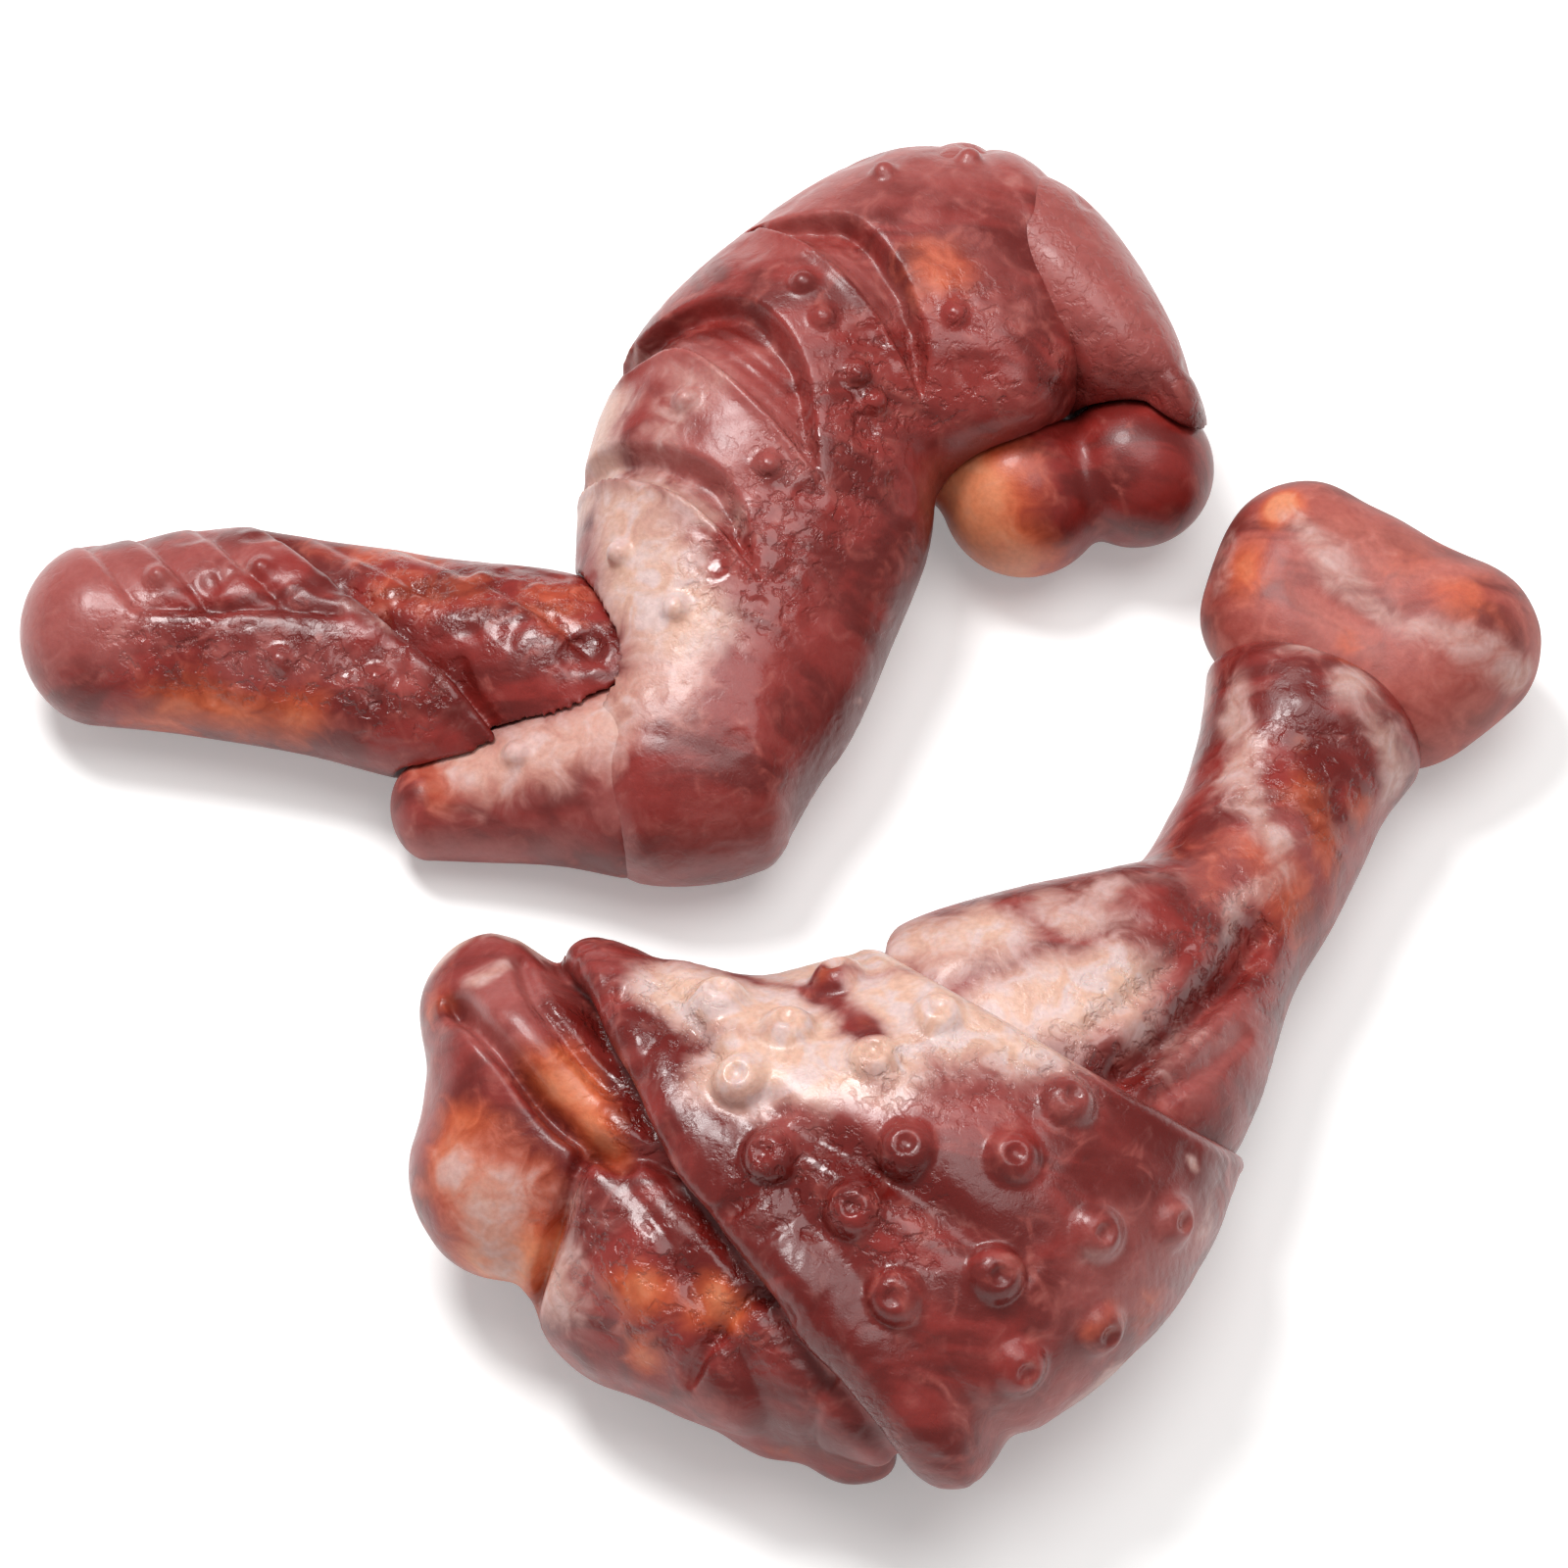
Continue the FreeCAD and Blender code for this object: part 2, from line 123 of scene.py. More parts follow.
def curve_through(stations, count=360):
    """Stations joined by a smooth curve, as an array of many."""
    table = np.array(stations, float)
    place = np.linspace(0, len(table) - 1, count)
    index = np.clip(place.astype(int), 0, len(table) - 2)
    part = (place - index)[:, None]
    before = table[np.clip(index - 1, 0, None)]
    start = table[index]
    end = table[index + 1]
    after = table[np.clip(index + 2, None, len(table) - 1)]
    leave = (end - before) / 2
    arrive = (after - start) / 2
    return ((2 * part ** 3 - 3 * part ** 2 + 1) * start + (part ** 3 - 2 * part ** 2 + part) * leave
            + (3 * part ** 2 - 2 * part ** 3) * end + (part ** 3 - part ** 2) * arrive)


class Limb:
    """Upright oval sections along a centre line.

    A station is x, y, height of the centre, half width, half height and the
    direction of the width in degrees.  round_off is the depth of the end caps.
    """

    def __init__(self, grid, stations, round_off):
        dense = curve_through(stations)
        x = grid.x[:, :, 0]
        y = grid.y[:, :, 0]
        best = np.full(np.broadcast(x, y).shape, 1e9, np.float32)
        chosen = np.zeros(best.shape, int)
        ahead = np.zeros_like(best)
        beside = np.zeros_like(best)
        for number, (sx, sy, _, width, _, turn) in enumerate(dense):
            c, s = math.cos(math.radians(turn)), math.sin(math.radians(turn))
            along = -(x - sx) * s + (y - sy) * c
            across = (x - sx) * c + (y - sy) * s
            cost = np.abs(along) + 10 * np.maximum(np.abs(across) - 1.5 * width, 0)
            nearer = cost < best
            best[nearer] = cost[nearer]
            chosen[nearer] = number
            ahead[nearer] = along[nearer]
            beside[nearer] = across[nearer]
        pick = dense[chosen]
        self.share = (chosen / (len(dense) - 1))[:, :, None]
        self.centre = pick[:, :, 2][:, :, None].astype(np.float32)
        self.width = pick[:, :, 3][:, :, None].astype(np.float32)
        self.height = pick[:, :, 4][:, :, None].astype(np.float32)
        self.beside = (beside[:, :, None] / self.width)
        self.ahead = (ahead[:, :, None] / round_off).astype(np.float32)
        at_end = (chosen == 0) | (chosen == len(dense) - 1)
        self.ahead = np.where(at_end[:, :, None], self.ahead, 0).astype(np.float32)
        self.round_off = round_off
        self.grid = grid

    def field(self, inset=0.0):
        width = self.width - inset
        height = self.height - inset
        u = self.beside * self.width / width
        v = (self.grid.z - self.centre) / height
        size = np.sqrt(u * u + v * v + self.ahead ** 2) + 1e-4
        slope = np.sqrt((u / width) ** 2 + (v / height) ** 2
                        + (self.ahead / self.round_off) ** 2) / size + 1e-4
        return ((size - 1) / slope).clip(-12, 12).astype(np.float32)


def ball(grid, x, y, z, radius, stretch=(1, 1, 1), turn=0.0):
    """A ball, or an egg when it is stretched, turned about the vertical."""
    c, s = math.cos(math.radians(turn)), math.sin(math.radians(turn))
    dx, dy, dz = grid.x - x, grid.y - y, grid.z - z
    u = (dx * c + dy * s) / stretch[0]
    v = (-dx * s + dy * c) / stretch[1]
    w = dz / stretch[2]
    size = np.sqrt(u * u + v * v + w * w) + 1e-4
    slope = np.sqrt((u / stretch[0]) ** 2 + (v / stretch[1]) ** 2 + (w / stretch[2]) ** 2) / size
    return ((size - radius) / (slope + 1e-4)).astype(np.float32)


def rod(grid, start, end, start_radius, end_radius):
    """A straight rounded bar that may taper."""
    start = np.array(start, float)
    run = np.array(end, float) - start
    dx, dy, dz = grid.x - start[0], grid.y - start[1], grid.z - start[2]
    share = np.clip((dx * run[0] + dy * run[1] + dz * run[2]) / (run @ run), 0, 1)
    gap = np.sqrt((dx - share * run[0]) ** 2 + (dy - share * run[1]) ** 2
                  + (dz - share * run[2]) ** 2)
    return (gap - (start_radius + share * (end_radius - start_radius))).astype(np.float32)


def half_space(grid, point, normal):
    """Negative behind the plane through the point."""
    nx, ny, nz = np.array(normal, float) / np.linalg.norm(normal)
    return (nx * (grid.x - point[0]) + ny * (grid.y - point[1])
            + nz * (grid.z - point[2])).astype(np.float32)


def spline_weights(places, count):
    """Cubic B-spline weights of evenly spaced knots at each place."""
    index = np.floor(places).astype(int)
    part = places - index
    weights = np.zeros((len(places), count), np.float32)
    parts = [(1 - part) ** 3 / 6, (3 * part ** 3 - 6 * part ** 2 + 4) / 6,
             (-3 * part ** 3 + 3 * part ** 2 + 3 * part + 1) / 6, part ** 3 / 6]
    for offset, value in enumerate(parts):
        weights[np.arange(len(places)), index + offset] = value
    return weights


def noise(grid, cell, seed, stretch=(1, 1, 1)):
    """Smooth random values of about -1 to 1 that change over one cell, in millimetres."""
    source = np.random.default_rng(seed)
    matrices = []
    for axis, factor in zip(grid.axes, stretch):
        places = (axis - axis[0]) / (cell * factor)
        matrices.append(spline_weights(places, int(places[-1]) + 5))
    knots = source.uniform(-1, 1, [m.shape[1] for m in matrices]).astype(np.float32)
    result = np.tensordot(matrices[0], knots, (1, 0))
    result = np.einsum("jm,imn->ijn", matrices[1], result, optimize=True)
    result = np.einsum("kn,ijn->ijk", matrices[2], result, optimize=True)
    return (result * NOISE_GAIN).astype(np.float32)


def lumps(grid, layers):
    """Noise layers added together: the height, cell and seed of each."""
    return sum(height * noise(grid, cell, seed) for height, cell, seed in layers)


def pits(grid, layers):
    """Dimples scattered on smooth ground: the depth, cell and seed of each layer."""
    return sum(depth * smooth_step((noise(grid, cell, seed) - PIT_EDGE) / PIT_SLOPE)
               for depth, cell, seed in layers)


def near(grid, x, y, z, reach):
    """1 at a point, fading to 0 at the reach."""
    gap = np.sqrt((grid.x - x) ** 2 + (grid.y - y) ** 2 + (grid.z - z) ** 2)
    return smooth_step(1 - gap / reach)


def rough_ground(grid, base, places):
    """How pitted the ground is: a base value, and more near each place."""
    return base + sum(strength * near(grid, x, y, z, reach)
                      for x, y, z, reach, strength in places)


def ridge(value, centre, width):
    """1 where the value is at the centre, fading to 0 over the width."""
    return np.exp(-((value - centre) / width) ** 2)


def above_floor(grid, field):
    """The field cut flat just above the floor."""
    return np.maximum(field, FLOOR_CLEARANCE - grid.z)


def gap_to_path(grid, points):
    """Plan distance to a line through points, negative on its left side."""
    x = grid.x[:, :, 0]
    y = grid.y[:, :, 0]
    best = np.full(np.broadcast(x, y).shape, 1e9, np.float32)
    side = np.ones_like(best)
    share = np.zeros_like(best)
    dense = curve_through(points, 40)
    for number in range(len(dense) - 1):
        ax, ay = dense[number]
        run_x, run_y = dense[number + 1] - dense[number]
        along = np.clip(((x - ax) * run_x + (y - ay) * run_y) / (run_x ** 2 + run_y ** 2), 0, 1)
        gap = np.hypot(x - ax - along * run_x, y - ay - along * run_y)
        nearer = gap < best
        best[nearer] = gap[nearer]
        turn = run_x * (y - ay) - run_y * (x - ax)
        side[nearer] = np.where(turn > 0, -1, 1)[nearer]
        share[nearer] = ((number + along) / (len(dense) - 1))[nearer]
    return (best * side)[:, :, None], share[:, :, None]


# ------------------------------------------------------------------ meshes

def mesh_field(name, grid, field):
    """The closed surface where the field is zero, in metres in the row frame."""
    padded = np.pad(field, 1, constant_values=VOXEL * 3).astype(np.float32)
    volume = openvdb.FloatGrid(background=VOXEL * 3)
    volume.copyFromArray(np.ascontiguousarray(padded))
    points, quads = volume.convertToQuads(isovalue=0.0)
    points = (points - 1) * VOXEL + grid.low
    mesh = bpy.data.meshes.new(name)
    mesh.from_pydata((points * MM).tolist(), [], quads[:, ::-1].tolist())
    mesh.validate()
    mesh.update()
    mesh.polygons.foreach_set("use_smooth", np.ones(len(mesh.polygons), bool))
    rest = mesh.attributes.new("rest_mm", "FLOAT_VECTOR", "POINT")
    rest.data.foreach_set("vector", points.astype(np.float32).ravel())
    piece = bpy.data.objects.new(name, mesh)
    bpy.context.scene.collection.objects.link(piece)
    return piece, points


def paint(piece, name, values):
    """A named value on every point of the mesh, which the material reads."""
    layer = piece.data.attributes.new(name, "FLOAT", "POINT")
    layer.data.foreach_set("value", np.clip(values, 0, 1).astype(np.float32))


# ------------------------------------------------------------------ shapes
# The stations of each limb, and the depth of the caps at its ends.

THIGH = [(-29, -5.5, 20, 33, 17, -56), (-14, -3, 22.5, 42.5, 21.5, -59.5),
         (2, -2.5, 23.5, 35.5, 23.5, -58.5), (15.5, 5, 23.5, 32, 23.5, -52.5),
         (25.5, 15, 21.5, 27, 21.5, -46.5), (33, 26, 18.5, 21.5, 18.5, -41)]
THIGH_CAP = 10
SHANK = [(14, 14, 19, 26, 18, -40), (24.5, 22.5, 18.5, 26, 18.5, -37), (33, 29.5, 17, 21.3, 17, -40),
         (43.5, 40, 15.5, 13.2, 14, -33.5), (50.5, 53, 15, 12.4, 12.5, -23.5),
         (54.5, 63.5, 15, 12.8, 12.5, -24.5), (57.5, 72, 15, 15, 13, -27)]
SHANK_CAP = 8
WING = [(-23.5, 62.8, 12.5, 13.8, 12, -17), (-19.2, 74.3, 14.5, 17.8, 14.5, -12),
        (-16.5, 88.5, 16.5, 21, 16.5, -12.5), (-13.5, 102, 18, 23, 18, -15),
        (-9.5, 116.5, 19, 21.8, 19, -25), (1, 129.5, 19, 19.9, 19, -45.5),
        (12, 137.5, 19, 18.7, 18, -57.5), (20, 139.5, 19, 14.5, 16, -69)]
WING_CAP = 9
TIP = [(-28, 77.5, 13, 12.5, 11.5, -97), (-40, 79.3, 13, 15, 12, -97.5),
       (-56, 82, 12.5, 15.9, 11.5, -97), (-70.5, 85.5, 12.2, 15.2, 11.3, -94),
       (-85, 87.4, 12.2, 14.3, 11, -91), (-98, 87.5, 11.8, 12.2, 10.6, -90)]
TIP_CAP = 10.5
KNOB = [(-15, 67.5, 13.5, 13.0, 12.3, -82), (-28, 66.0, 12.8, 14.4, 12.3, -80),
        (-40, 65.2, 10.8, 10.6, 10.2, -79), (-50, 63.9, 9.0, 7.6, 8.2, -78),
        (-56, 63.2, 7.8, 6.2, 6.8, -78)]
KNOB_CAP = 4.5
FLAP = [(11, 145, 19, 10, 15.0, 45), (21, 138.3, 19, 11.6, 15.5, 45),
        (28.5, 129.3, 18.5, 10.8, 15.2, 42), (34.5, 122, 17.5, 8.4, 14, 38),
        (39.5, 117.5, 17, 4.5, 10.5, 34)]
FLAP_CAP = 7

# Room left between pieces that fit into each other.
GAP = 0.3
ELBOW_GAP = 0.45
BODY_SOCKET_GAP = 0.4
FLAP_SOCKET_GAP = 0.6


def surface_normal(grid, field, x, y):
    """Height of the topmost surface over a point, and its outward normal."""
    i = int(round((x - grid.low[0]) / VOXEL))
    j = int(round((y - grid.low[1]) / VOXEL))
    column = field[i, j]
    inside = np.nonzero(column < 0)[0]
    if len(inside) == 0:
        return None
    k = inside[-1]
    step = 3
    slope = np.array([field[i + step, j, k] - field[i - step, j, k],
                      field[i, j + step, k] - field[i, j - step, k],
                      field[i, j, min(k + step, field.shape[2] - 1)] - field[i, j, k - step]])
    height = grid.low[2] + VOXEL * (k + column[k] / (column[k] - column[k + 1]))
    return height, slope / np.linalg.norm(slope)


def add_bumps(grid, field, places, radius, sunk, soft):
    """Small domes on the top of a field, each with its centre sunk below the surface."""
    for x, y in places:
        found = surface_normal(grid, field, x, y)
        if found is not None:
            field = unite(field, ball(grid, x, y, found[0] - sunk, radius), soft)
    return field


def groove(grid, field, paths, above):
    """Creases pressed into the top of a field: points, half width and depth of each."""
    top = smooth_step((grid.z - above) / 6)
    for points, width, depth in paths:
        gap, share = gap_to_path(grid, points)
        fade = smooth_step(6 * share + 0.2) * smooth_step(6 * (1 - share) + 0.2)
        field = field + depth * ridge(gap, 0, width) * fade * top
    return field


def carve_squeaker(grid, field, node):
    """The round hole that the squeaker's barrel is bonded into."""
    low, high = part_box(node)
    x, y = (low[0] + high[0]) / 2 / MM, (low[1] + high[1]) / 2 / MM
    radius = (high[0] - low[0]) / 2 / MM + GAP
    gap = np.hypot(grid.x - x, grid.y - y) - radius
    hole = np.maximum(gap, grid.z - high[2] / MM - GAP)
    return np.maximum(field, -hole)


# ------------------------------------------------------------------ drumstick

DRUMSTICK_BOX = ((-62, -44, 0), (82, 92, 49))

# The skin ends at two slanted planes, the hem and the rim of its mouth.
HEM_POINT = (-14, -3, 22.5)
HEM_NORMAL = (0.777, 0.457, 0.432)
RIM_POINT = (24.4, 22.7, 18)
RIM_NORMAL = (0.50, 0.75, 0.433)

# A roll, a dip and a bead are each a distance from the edge and a half width.
HEM_WAVES = ((1.3, 14, 14), (0.7, 5, 15))
HEM_ROLL = (3.5, 3.2)
HEM_ROLL_HEIGHT = 1.3
HEM_ROLL_LUMPS = ((0.8, 6, 18),)
HEM_DIP = (10.5, 2.2)
HEM_DIP_DEPTH = 1.1
HEM_SOFT = 2.0
RIM_BEAD = (-1.0, 0.8)
RIM_BEAD_HEIGHT = 0.35
RIM_WAVES = ((0.2, 9, 17),)
RIM_SOFT = 0.9

# Where the skin is rough: x, y, z, reach and strength.
SKIN_LUMPS = ((0.5, 10, 11), (0.18, 3.4, 12))
SKIN_PITS = ((1.05, 2.9, 13), (0.35, 1.8, 16))
SKIN_ROUGH = ((-5, -13, 44, 16, 0.9), (22, 4, 44, 16, 0.7))
SKIN_ROUGH_BASE = 0.15
ROLL_ROUGH = 1.3
SKIN_FURROWS = [
    ([(-9, -2), (2, -9), (13, -17), (20, -22)], 2.4, 1.5),
    ([(-22, 14), (-16, 6), (-9, -2)], 1.6, 0.9),
]

# Raised rings of the thigh's skin: x and y of each centre.
NUBS = [(-3.4, 21.4), (-18, 17.7), (-9.6, 12), (1, 6.3), (9, 12.5), (-15.5, 4.5), (25, 1),
        (-12, -6), (5, -6.5), (18, -7.3), (-1.5, -13.7), (28.5, -14.6), (38, -9.5),
        (3.5, -24), (16, -21.3), (29, -23.7), (19, -30)]
NUB_RADIUS = 3.9
NUB_CRATER = 1.7

# Bulbs of the knee: x, y, z, radius, stretch and turn in degrees.
KNEE_BULBS = [
    (-45.9, 26.6, 22, 9.9, (1, 1, 1), 0),
    (-41, 16, 23, 13, (1.1, 1.0, 1.0), -40),
    (-43.5, 5.8, 17.5, 13.4, (1.0, 1.05, 1.0), 0),
    (-27, -9, 16, 14.2, (1.05, 1.0, 1.0), -50),
    (-18, -16.5, 12, 9, (1, 1, 1), 0),
    (-10, -21.5, 11, 8.5, (1, 1, 1), 0),
    (-1, -26, 9, 7, (1, 1, 1), 0),
    (-33, 28, 24, 8, (1.2, 0.8, 1.0), -60),
]
KNEE_CREASES = [
    ([(-52, 25), (-47.4, 17), (-39, 6.5), (-34, 1.7), (-28, -3)], 1.3, 2.8),
    ([(-34, 1.7), (-38.3, -7.5), (-42, -14)], 1.2, 2.6),
    ([(-34, 1.7), (-28, -0.5), (-20, -4)], 1.1, 2.0),
    ([(-43, 30), (-40, 19), (-30, 7)], 1.2, 1.8),
    ([(-22, -27), (-15, -20), (-8, -19)], 1.2, 1.6),
    ([(-9, -38), (-6, -31), (-2, -27)], 1.0, 1.3),
]
KNEE_INSET = 3.2
KNEE_BLEND = 4.0
KNEE_TUCK = 6
KNEE_COVER = 2.0
KNEE_LUMPS = ((0.5, 7, 21), (0.15, 2.5, 22))
KNEE_WET_PLACE = (-24, -18, 31, 15)
KNEE_WET_LUMPS = ((1.3, 4.6, 23), (0.35, 2.0, 24))
HEM_VALLEY = (-1.0, 2.2)
HEM_VALLEY_DEPTH = 2.6

SHANK_ROOT = (16, 10, 18)
SHANK_VALLEYS = [
    ([(29, 9), (36, 15.5), (42, 23), (47, 31), (50, 38)], 2.0, 3.2),
    ([(27, 15), (34, 22), (41, 31)], 1.2, 0.9),
    ([(35, 8), (42, 14), (48, 22)], 1.3, 1.0),
    ([(10, 21), (24, 27), (36, 33)], 1.8, 0.5),
]
SHANK_STRIP = ((12, 26.5, 27), (34, 35, 25), 6.8, 7.6)
SHANK_STRIP_BLEND = 8
SHANK_COVER = 1.8
SHANK_LUMPS = ((0.35, 6.0, 31),)
SHANK_MIDDLE = (56, 58, 24, 20)
SHANK_MIDDLE_LUMPS = ((0.8, 4.0, 32), (0.45, 2.1, 33))
SHANK_WET_PLACE = (38, 20, 32, 15)
SHANK_WET_HEIGHT = 0.35
SHANK_WET_GRAIN = (2.4, 34, (0.6, 1.6, 1))

KNUCKLE_BOX = ((38, 60, 2), (92, 112, 30))
# Lobes of the bone end: x, y, z and radius.
KNUCKLE_LOBES = [
    (56.7, 95.8, 16, 10.3),
    (53.6, 87.5, 15, 10.0),
    (66, 91.2, 16, 9.6),
    (76.3, 84, 15, 11.2),
    (69.5, 78, 14, 10.6),
    (59, 80.5, 14.5, 9.6),
]
KNUCKLE_BLEND = 5
KNUCKLE_LUMPS = ((0.5, 8, 41), (0.12, 3, 42))


def add_nubs(grid, field, base):
    """Low domes with a crater in each, standing on the skin."""
    for x, y in NUBS:
        found = surface_normal(grid, base, x, y)
        if found is None:
            continue
        height, normal = found
        foot = np.array([x, y, height])
        dome_at = foot - normal * (NUB_RADIUS * 0.45)
        dome = ball(grid, *dome_at, NUB_RADIUS)
        field = unite(field, dome, 0.8)
        crater_at = foot + normal * (NUB_RADIUS * 0.72)
        field = cut(field, ball(grid, *crater_at, NUB_CRATER), 0.35)
    return field


def shape_skin(grid, outer, hem_line, rim_gap):
    """The skin's outside: a rolled hem, pits, furrows, nubs and a thin bead at the rim."""
    roll = ridge(hem_line, *HEM_ROLL) * smooth_step((39 - grid.y) / 14)
    on_top = smooth_step((grid.z - 14) / 10)
    skin = outer - lumps(grid, SKIN_LUMPS)
    skin = skin - (HEM_ROLL_HEIGHT + lumps(grid, HEM_ROLL_LUMPS)) * roll * on_top
    skin = skin + HEM_DIP_DEPTH * ridge(hem_line, *HEM_DIP)
    rough = ROLL_ROUGH * roll + rough_ground(grid, SKIN_ROUGH_BASE, SKIN_ROUGH)
    skin = skin + rough * pits(grid, SKIN_PITS)
    skin = groove(grid, skin, SKIN_FURROWS, 24)
    skin = skin - RIM_BEAD_HEIGHT * ridge(rim_gap, *RIM_BEAD)
    skin = add_nubs(grid, skin, outer)
    skin = cut(skin, hem_line, HEM_SOFT)
    return cut(skin, -rim_gap - lumps(grid, RIM_WAVES), RIM_SOFT)


def build_knee(grid, limb, hem_gap, hem_line):
    """The cut meat end: bulbs with creases between them, tucked into the skin's hem."""
    meat = limb.field(KNEE_INSET)
    for x, y, z, radius, stretch, turn in KNEE_BULBS:
        meat = unite(meat, ball(grid, x, y, z, radius, stretch, turn), KNEE_BLEND)
    meat = groove(grid, meat, KNEE_CREASES, 12)
    meat = meat + HEM_VALLEY_DEPTH * ridge(hem_line, *HEM_VALLEY) - lumps(grid, KNEE_LUMPS)
    meat = meat - near(grid, *KNEE_WET_PLACE) * lumps(grid, KNEE_WET_LUMPS)
    inside_skin = limb.field(KNEE_COVER) - 1.5 * np.maximum(0.5 - hem_gap, 0)
    meat = np.maximum(np.maximum(meat, inside_skin), hem_gap - KNEE_TUCK)
    return above_floor(grid, meat)


def build_shank(grid, thigh, rim_gap):
    """The lean meat between the skin's mouth and the bone end."""
    meat = Limb(grid, SHANK, SHANK_CAP).field()
    meat = unite(meat, rod(grid, *SHANK_STRIP), SHANK_STRIP_BLEND)
    meat = meat - lumps(grid, SHANK_LUMPS)
    meat = meat - near(grid, *SHANK_MIDDLE) * lumps(grid, SHANK_MIDDLE_LUMPS)
    wet = near(grid, *SHANK_WET_PLACE)
    meat = meat - wet * SHANK_WET_HEIGHT * noise(grid, *SHANK_WET_GRAIN)
    meat = groove(grid, meat, SHANK_VALLEYS, 16)
    inside_skin = thigh.field(SHANK_COVER) - 1.2 * np.maximum(rim_gap + 0.8, 0)
    meat = -unite(-meat, -inside_skin, 0.8)
    beyond_root = half_space(grid, SHANK_ROOT, RIM_NORMAL)
    return above_floor(grid, np.maximum(meat, -beyond_root))


def build_drumstick():
    """The nubbed skin, the meat end past its hem, and the meat that fills its mouth."""
    grid = Grid(*DRUMSTICK_BOX)
    limb = Limb(grid, THIGH, THIGH_CAP)
    hem_gap = half_space(grid, HEM_POINT, HEM_NORMAL)
    rim_gap = half_space(grid, RIM_POINT, RIM_NORMAL)
    hem_line = hem_gap + lumps(grid, HEM_WAVES)
    knee = build_knee(grid, limb, hem_gap, hem_line)
    shank = build_shank(grid, limb, rim_gap)
    skin = shape_skin(grid, limb.field(), hem_line, rim_gap)
    skin = np.maximum(skin, GAP - knee)
    skin = np.maximum(skin, GAP - shank)
    skin = carve_squeaker(grid, skin, "drumstick_squeaker_barrel")
    return grid, above_floor(grid, skin), knee, shank


def build_knuckle():
    """The bone end: smooth lobes that run together."""
    grid = Grid(*KNUCKLE_BOX)
    lobes = ball(grid, *KNUCKLE_LOBES[0])
    for lobe in KNUCKLE_LOBES[1:]:
        lobes = unite(lobes, ball(grid, *lobe), KNUCKLE_BLEND)
    return grid, lobes - lumps(grid, KNUCKLE_LUMPS)


# ------------------------------------------------------------------ wing

WING_BOX = ((-42, 48, 0), (34, 158, 42))
WING_SHOULDER = (14.5, 122, 22, 13.5, (1.05, 1, 1))
# The lip over the balls: start, end and the radius at each, of two bars.
WING_LIP = (((8, 112, 26.5), (20, 114.2, 27.5), 3.2, 3.4),
            ((20, 114.2, 27.5), (24.5, 120.5, 27), 3.4, 3.0))
WING_LUMPS = ((0.3, 12, 53),)
WING_PITS = ((0.75, 2.7, 51), (0.35, 1.8, 52))
WING_ROUGH = ((2, 108, 36, 17, 1.0), (-12, 86, 32, 14, 1.0), (16, 120, 37, 12, 0.5))
WING_ROUGH_BASE = 0.25
WING_ROUGH_MOST = 1.2
WING_BUMPS = [(-7.5, 124.3), (-5, 119), (-0.6, 112), (1.5, 109), (-12, 98.5), (-22.5, 108.8),
              (-23.8, 80.6), (-31, 90), (3, 143), (14, 146), (12, 121)]

# The balls of the cut end and the elbow's ball: x, y, z and radius.
BALL = (21.2, 108.3, 12, 10.8)
SMALL_BALL = (35.6, 111.5, 13, 10.2)
ELBOW = (-31, 82, 11.5, 11)

# Carved crescents of the wing: points along the crisp edge, then along the wall.
CRESCENTS = [
    ([(-13, 136), (-4.3, 127.5), (2.4, 119), (7.8, 109.8)],
     [(-12, 137.5), (-7, 137), (-1, 135.4), (4.1, 129.3), (7.5, 122.3), (8.8, 116), (7.9, 109.8)]),
    ([(-31, 116.3), (-24, 116.8), (-17.6, 111.1), (-12, 104.8), (-6, 97.6)],
     [(-29, 123), (-20, 124.8), (-13.8, 122.6), (-8.7, 116.5), (-6, 108.7), (-5.2, 97.6)]),
    ([(-37, 103), (-29, 98.9), (-21.6, 93.5), (-14, 84.5)],
     [(-38, 108.5), (-29, 105.3), (-18.8, 99.2), (-15, 93.7), (-13, 84.5)]),
]

TIP_BOX = ((-112, 58, 0), (-20, 106, 28))
TIP_LUMPS = ((0.3, 8, 61),)
TIP_PITS = ((0.6, 2.8, 62), (0.35, 1.6, 63))
# Folds of the wing tip: points, depth and how far the step reaches.
TIP_FOLDS = [
    ([(-93, 85), (-97, 92), (-101, 99)], 1.0, 2.6),
    ([(-84, 85), (-89, 92), (-95, 101)], 1.1, 2.6),
    ([(-74, 85), (-80, 92), (-87, 102)], 1.2, 2.6),
    ([(-44, 66), (-52.5, 75.6), (-63.5, 86), (-79, 102)], 4.4, 6.0),
    ([(-54, 86), (-62, 93), (-72, 101)], 1.0, 3.0),
    ([(-34, 76), (-42, 84), (-52, 92), (-60, 98)], 1.1, 3.0),
    ([(-66, 83.5), (-75, 84.5), (-85, 84.8), (-94, 85)], 1.2, 1.6),
]
TIP_BUMPS = [(-90.2, 89.7), (-77, 91), (-74.4, 77.7), (-62, 75), (-48.8, 89.5)]

KNOB_BOX = ((-62, 50, 0), (-12, 84, 30))
KNOB_LUMPS = ((0.25, 6, 71),)
KNOB_BUMPS = ((-28.5, 62), (-44, 65))
KNOB_SINK = 2.5

FLAP_BOX = ((0, 108, 0), (50, 162, 40))
FLAP_LUMPS = ((0.3, 5, 81),)
FLAP_PITS = ((0.45, 2.4, 82),)

BALLS_BOX = ((6, 94, 0), (50, 126, 28))


def cut_sockets(grid, field, gap, soft):
    """Room for the two balls."""
    for x, y, z, radius in (BALL, SMALL_BALL):
        field = cut(field, ball(grid, x, y, z, radius + gap), soft)
    return field


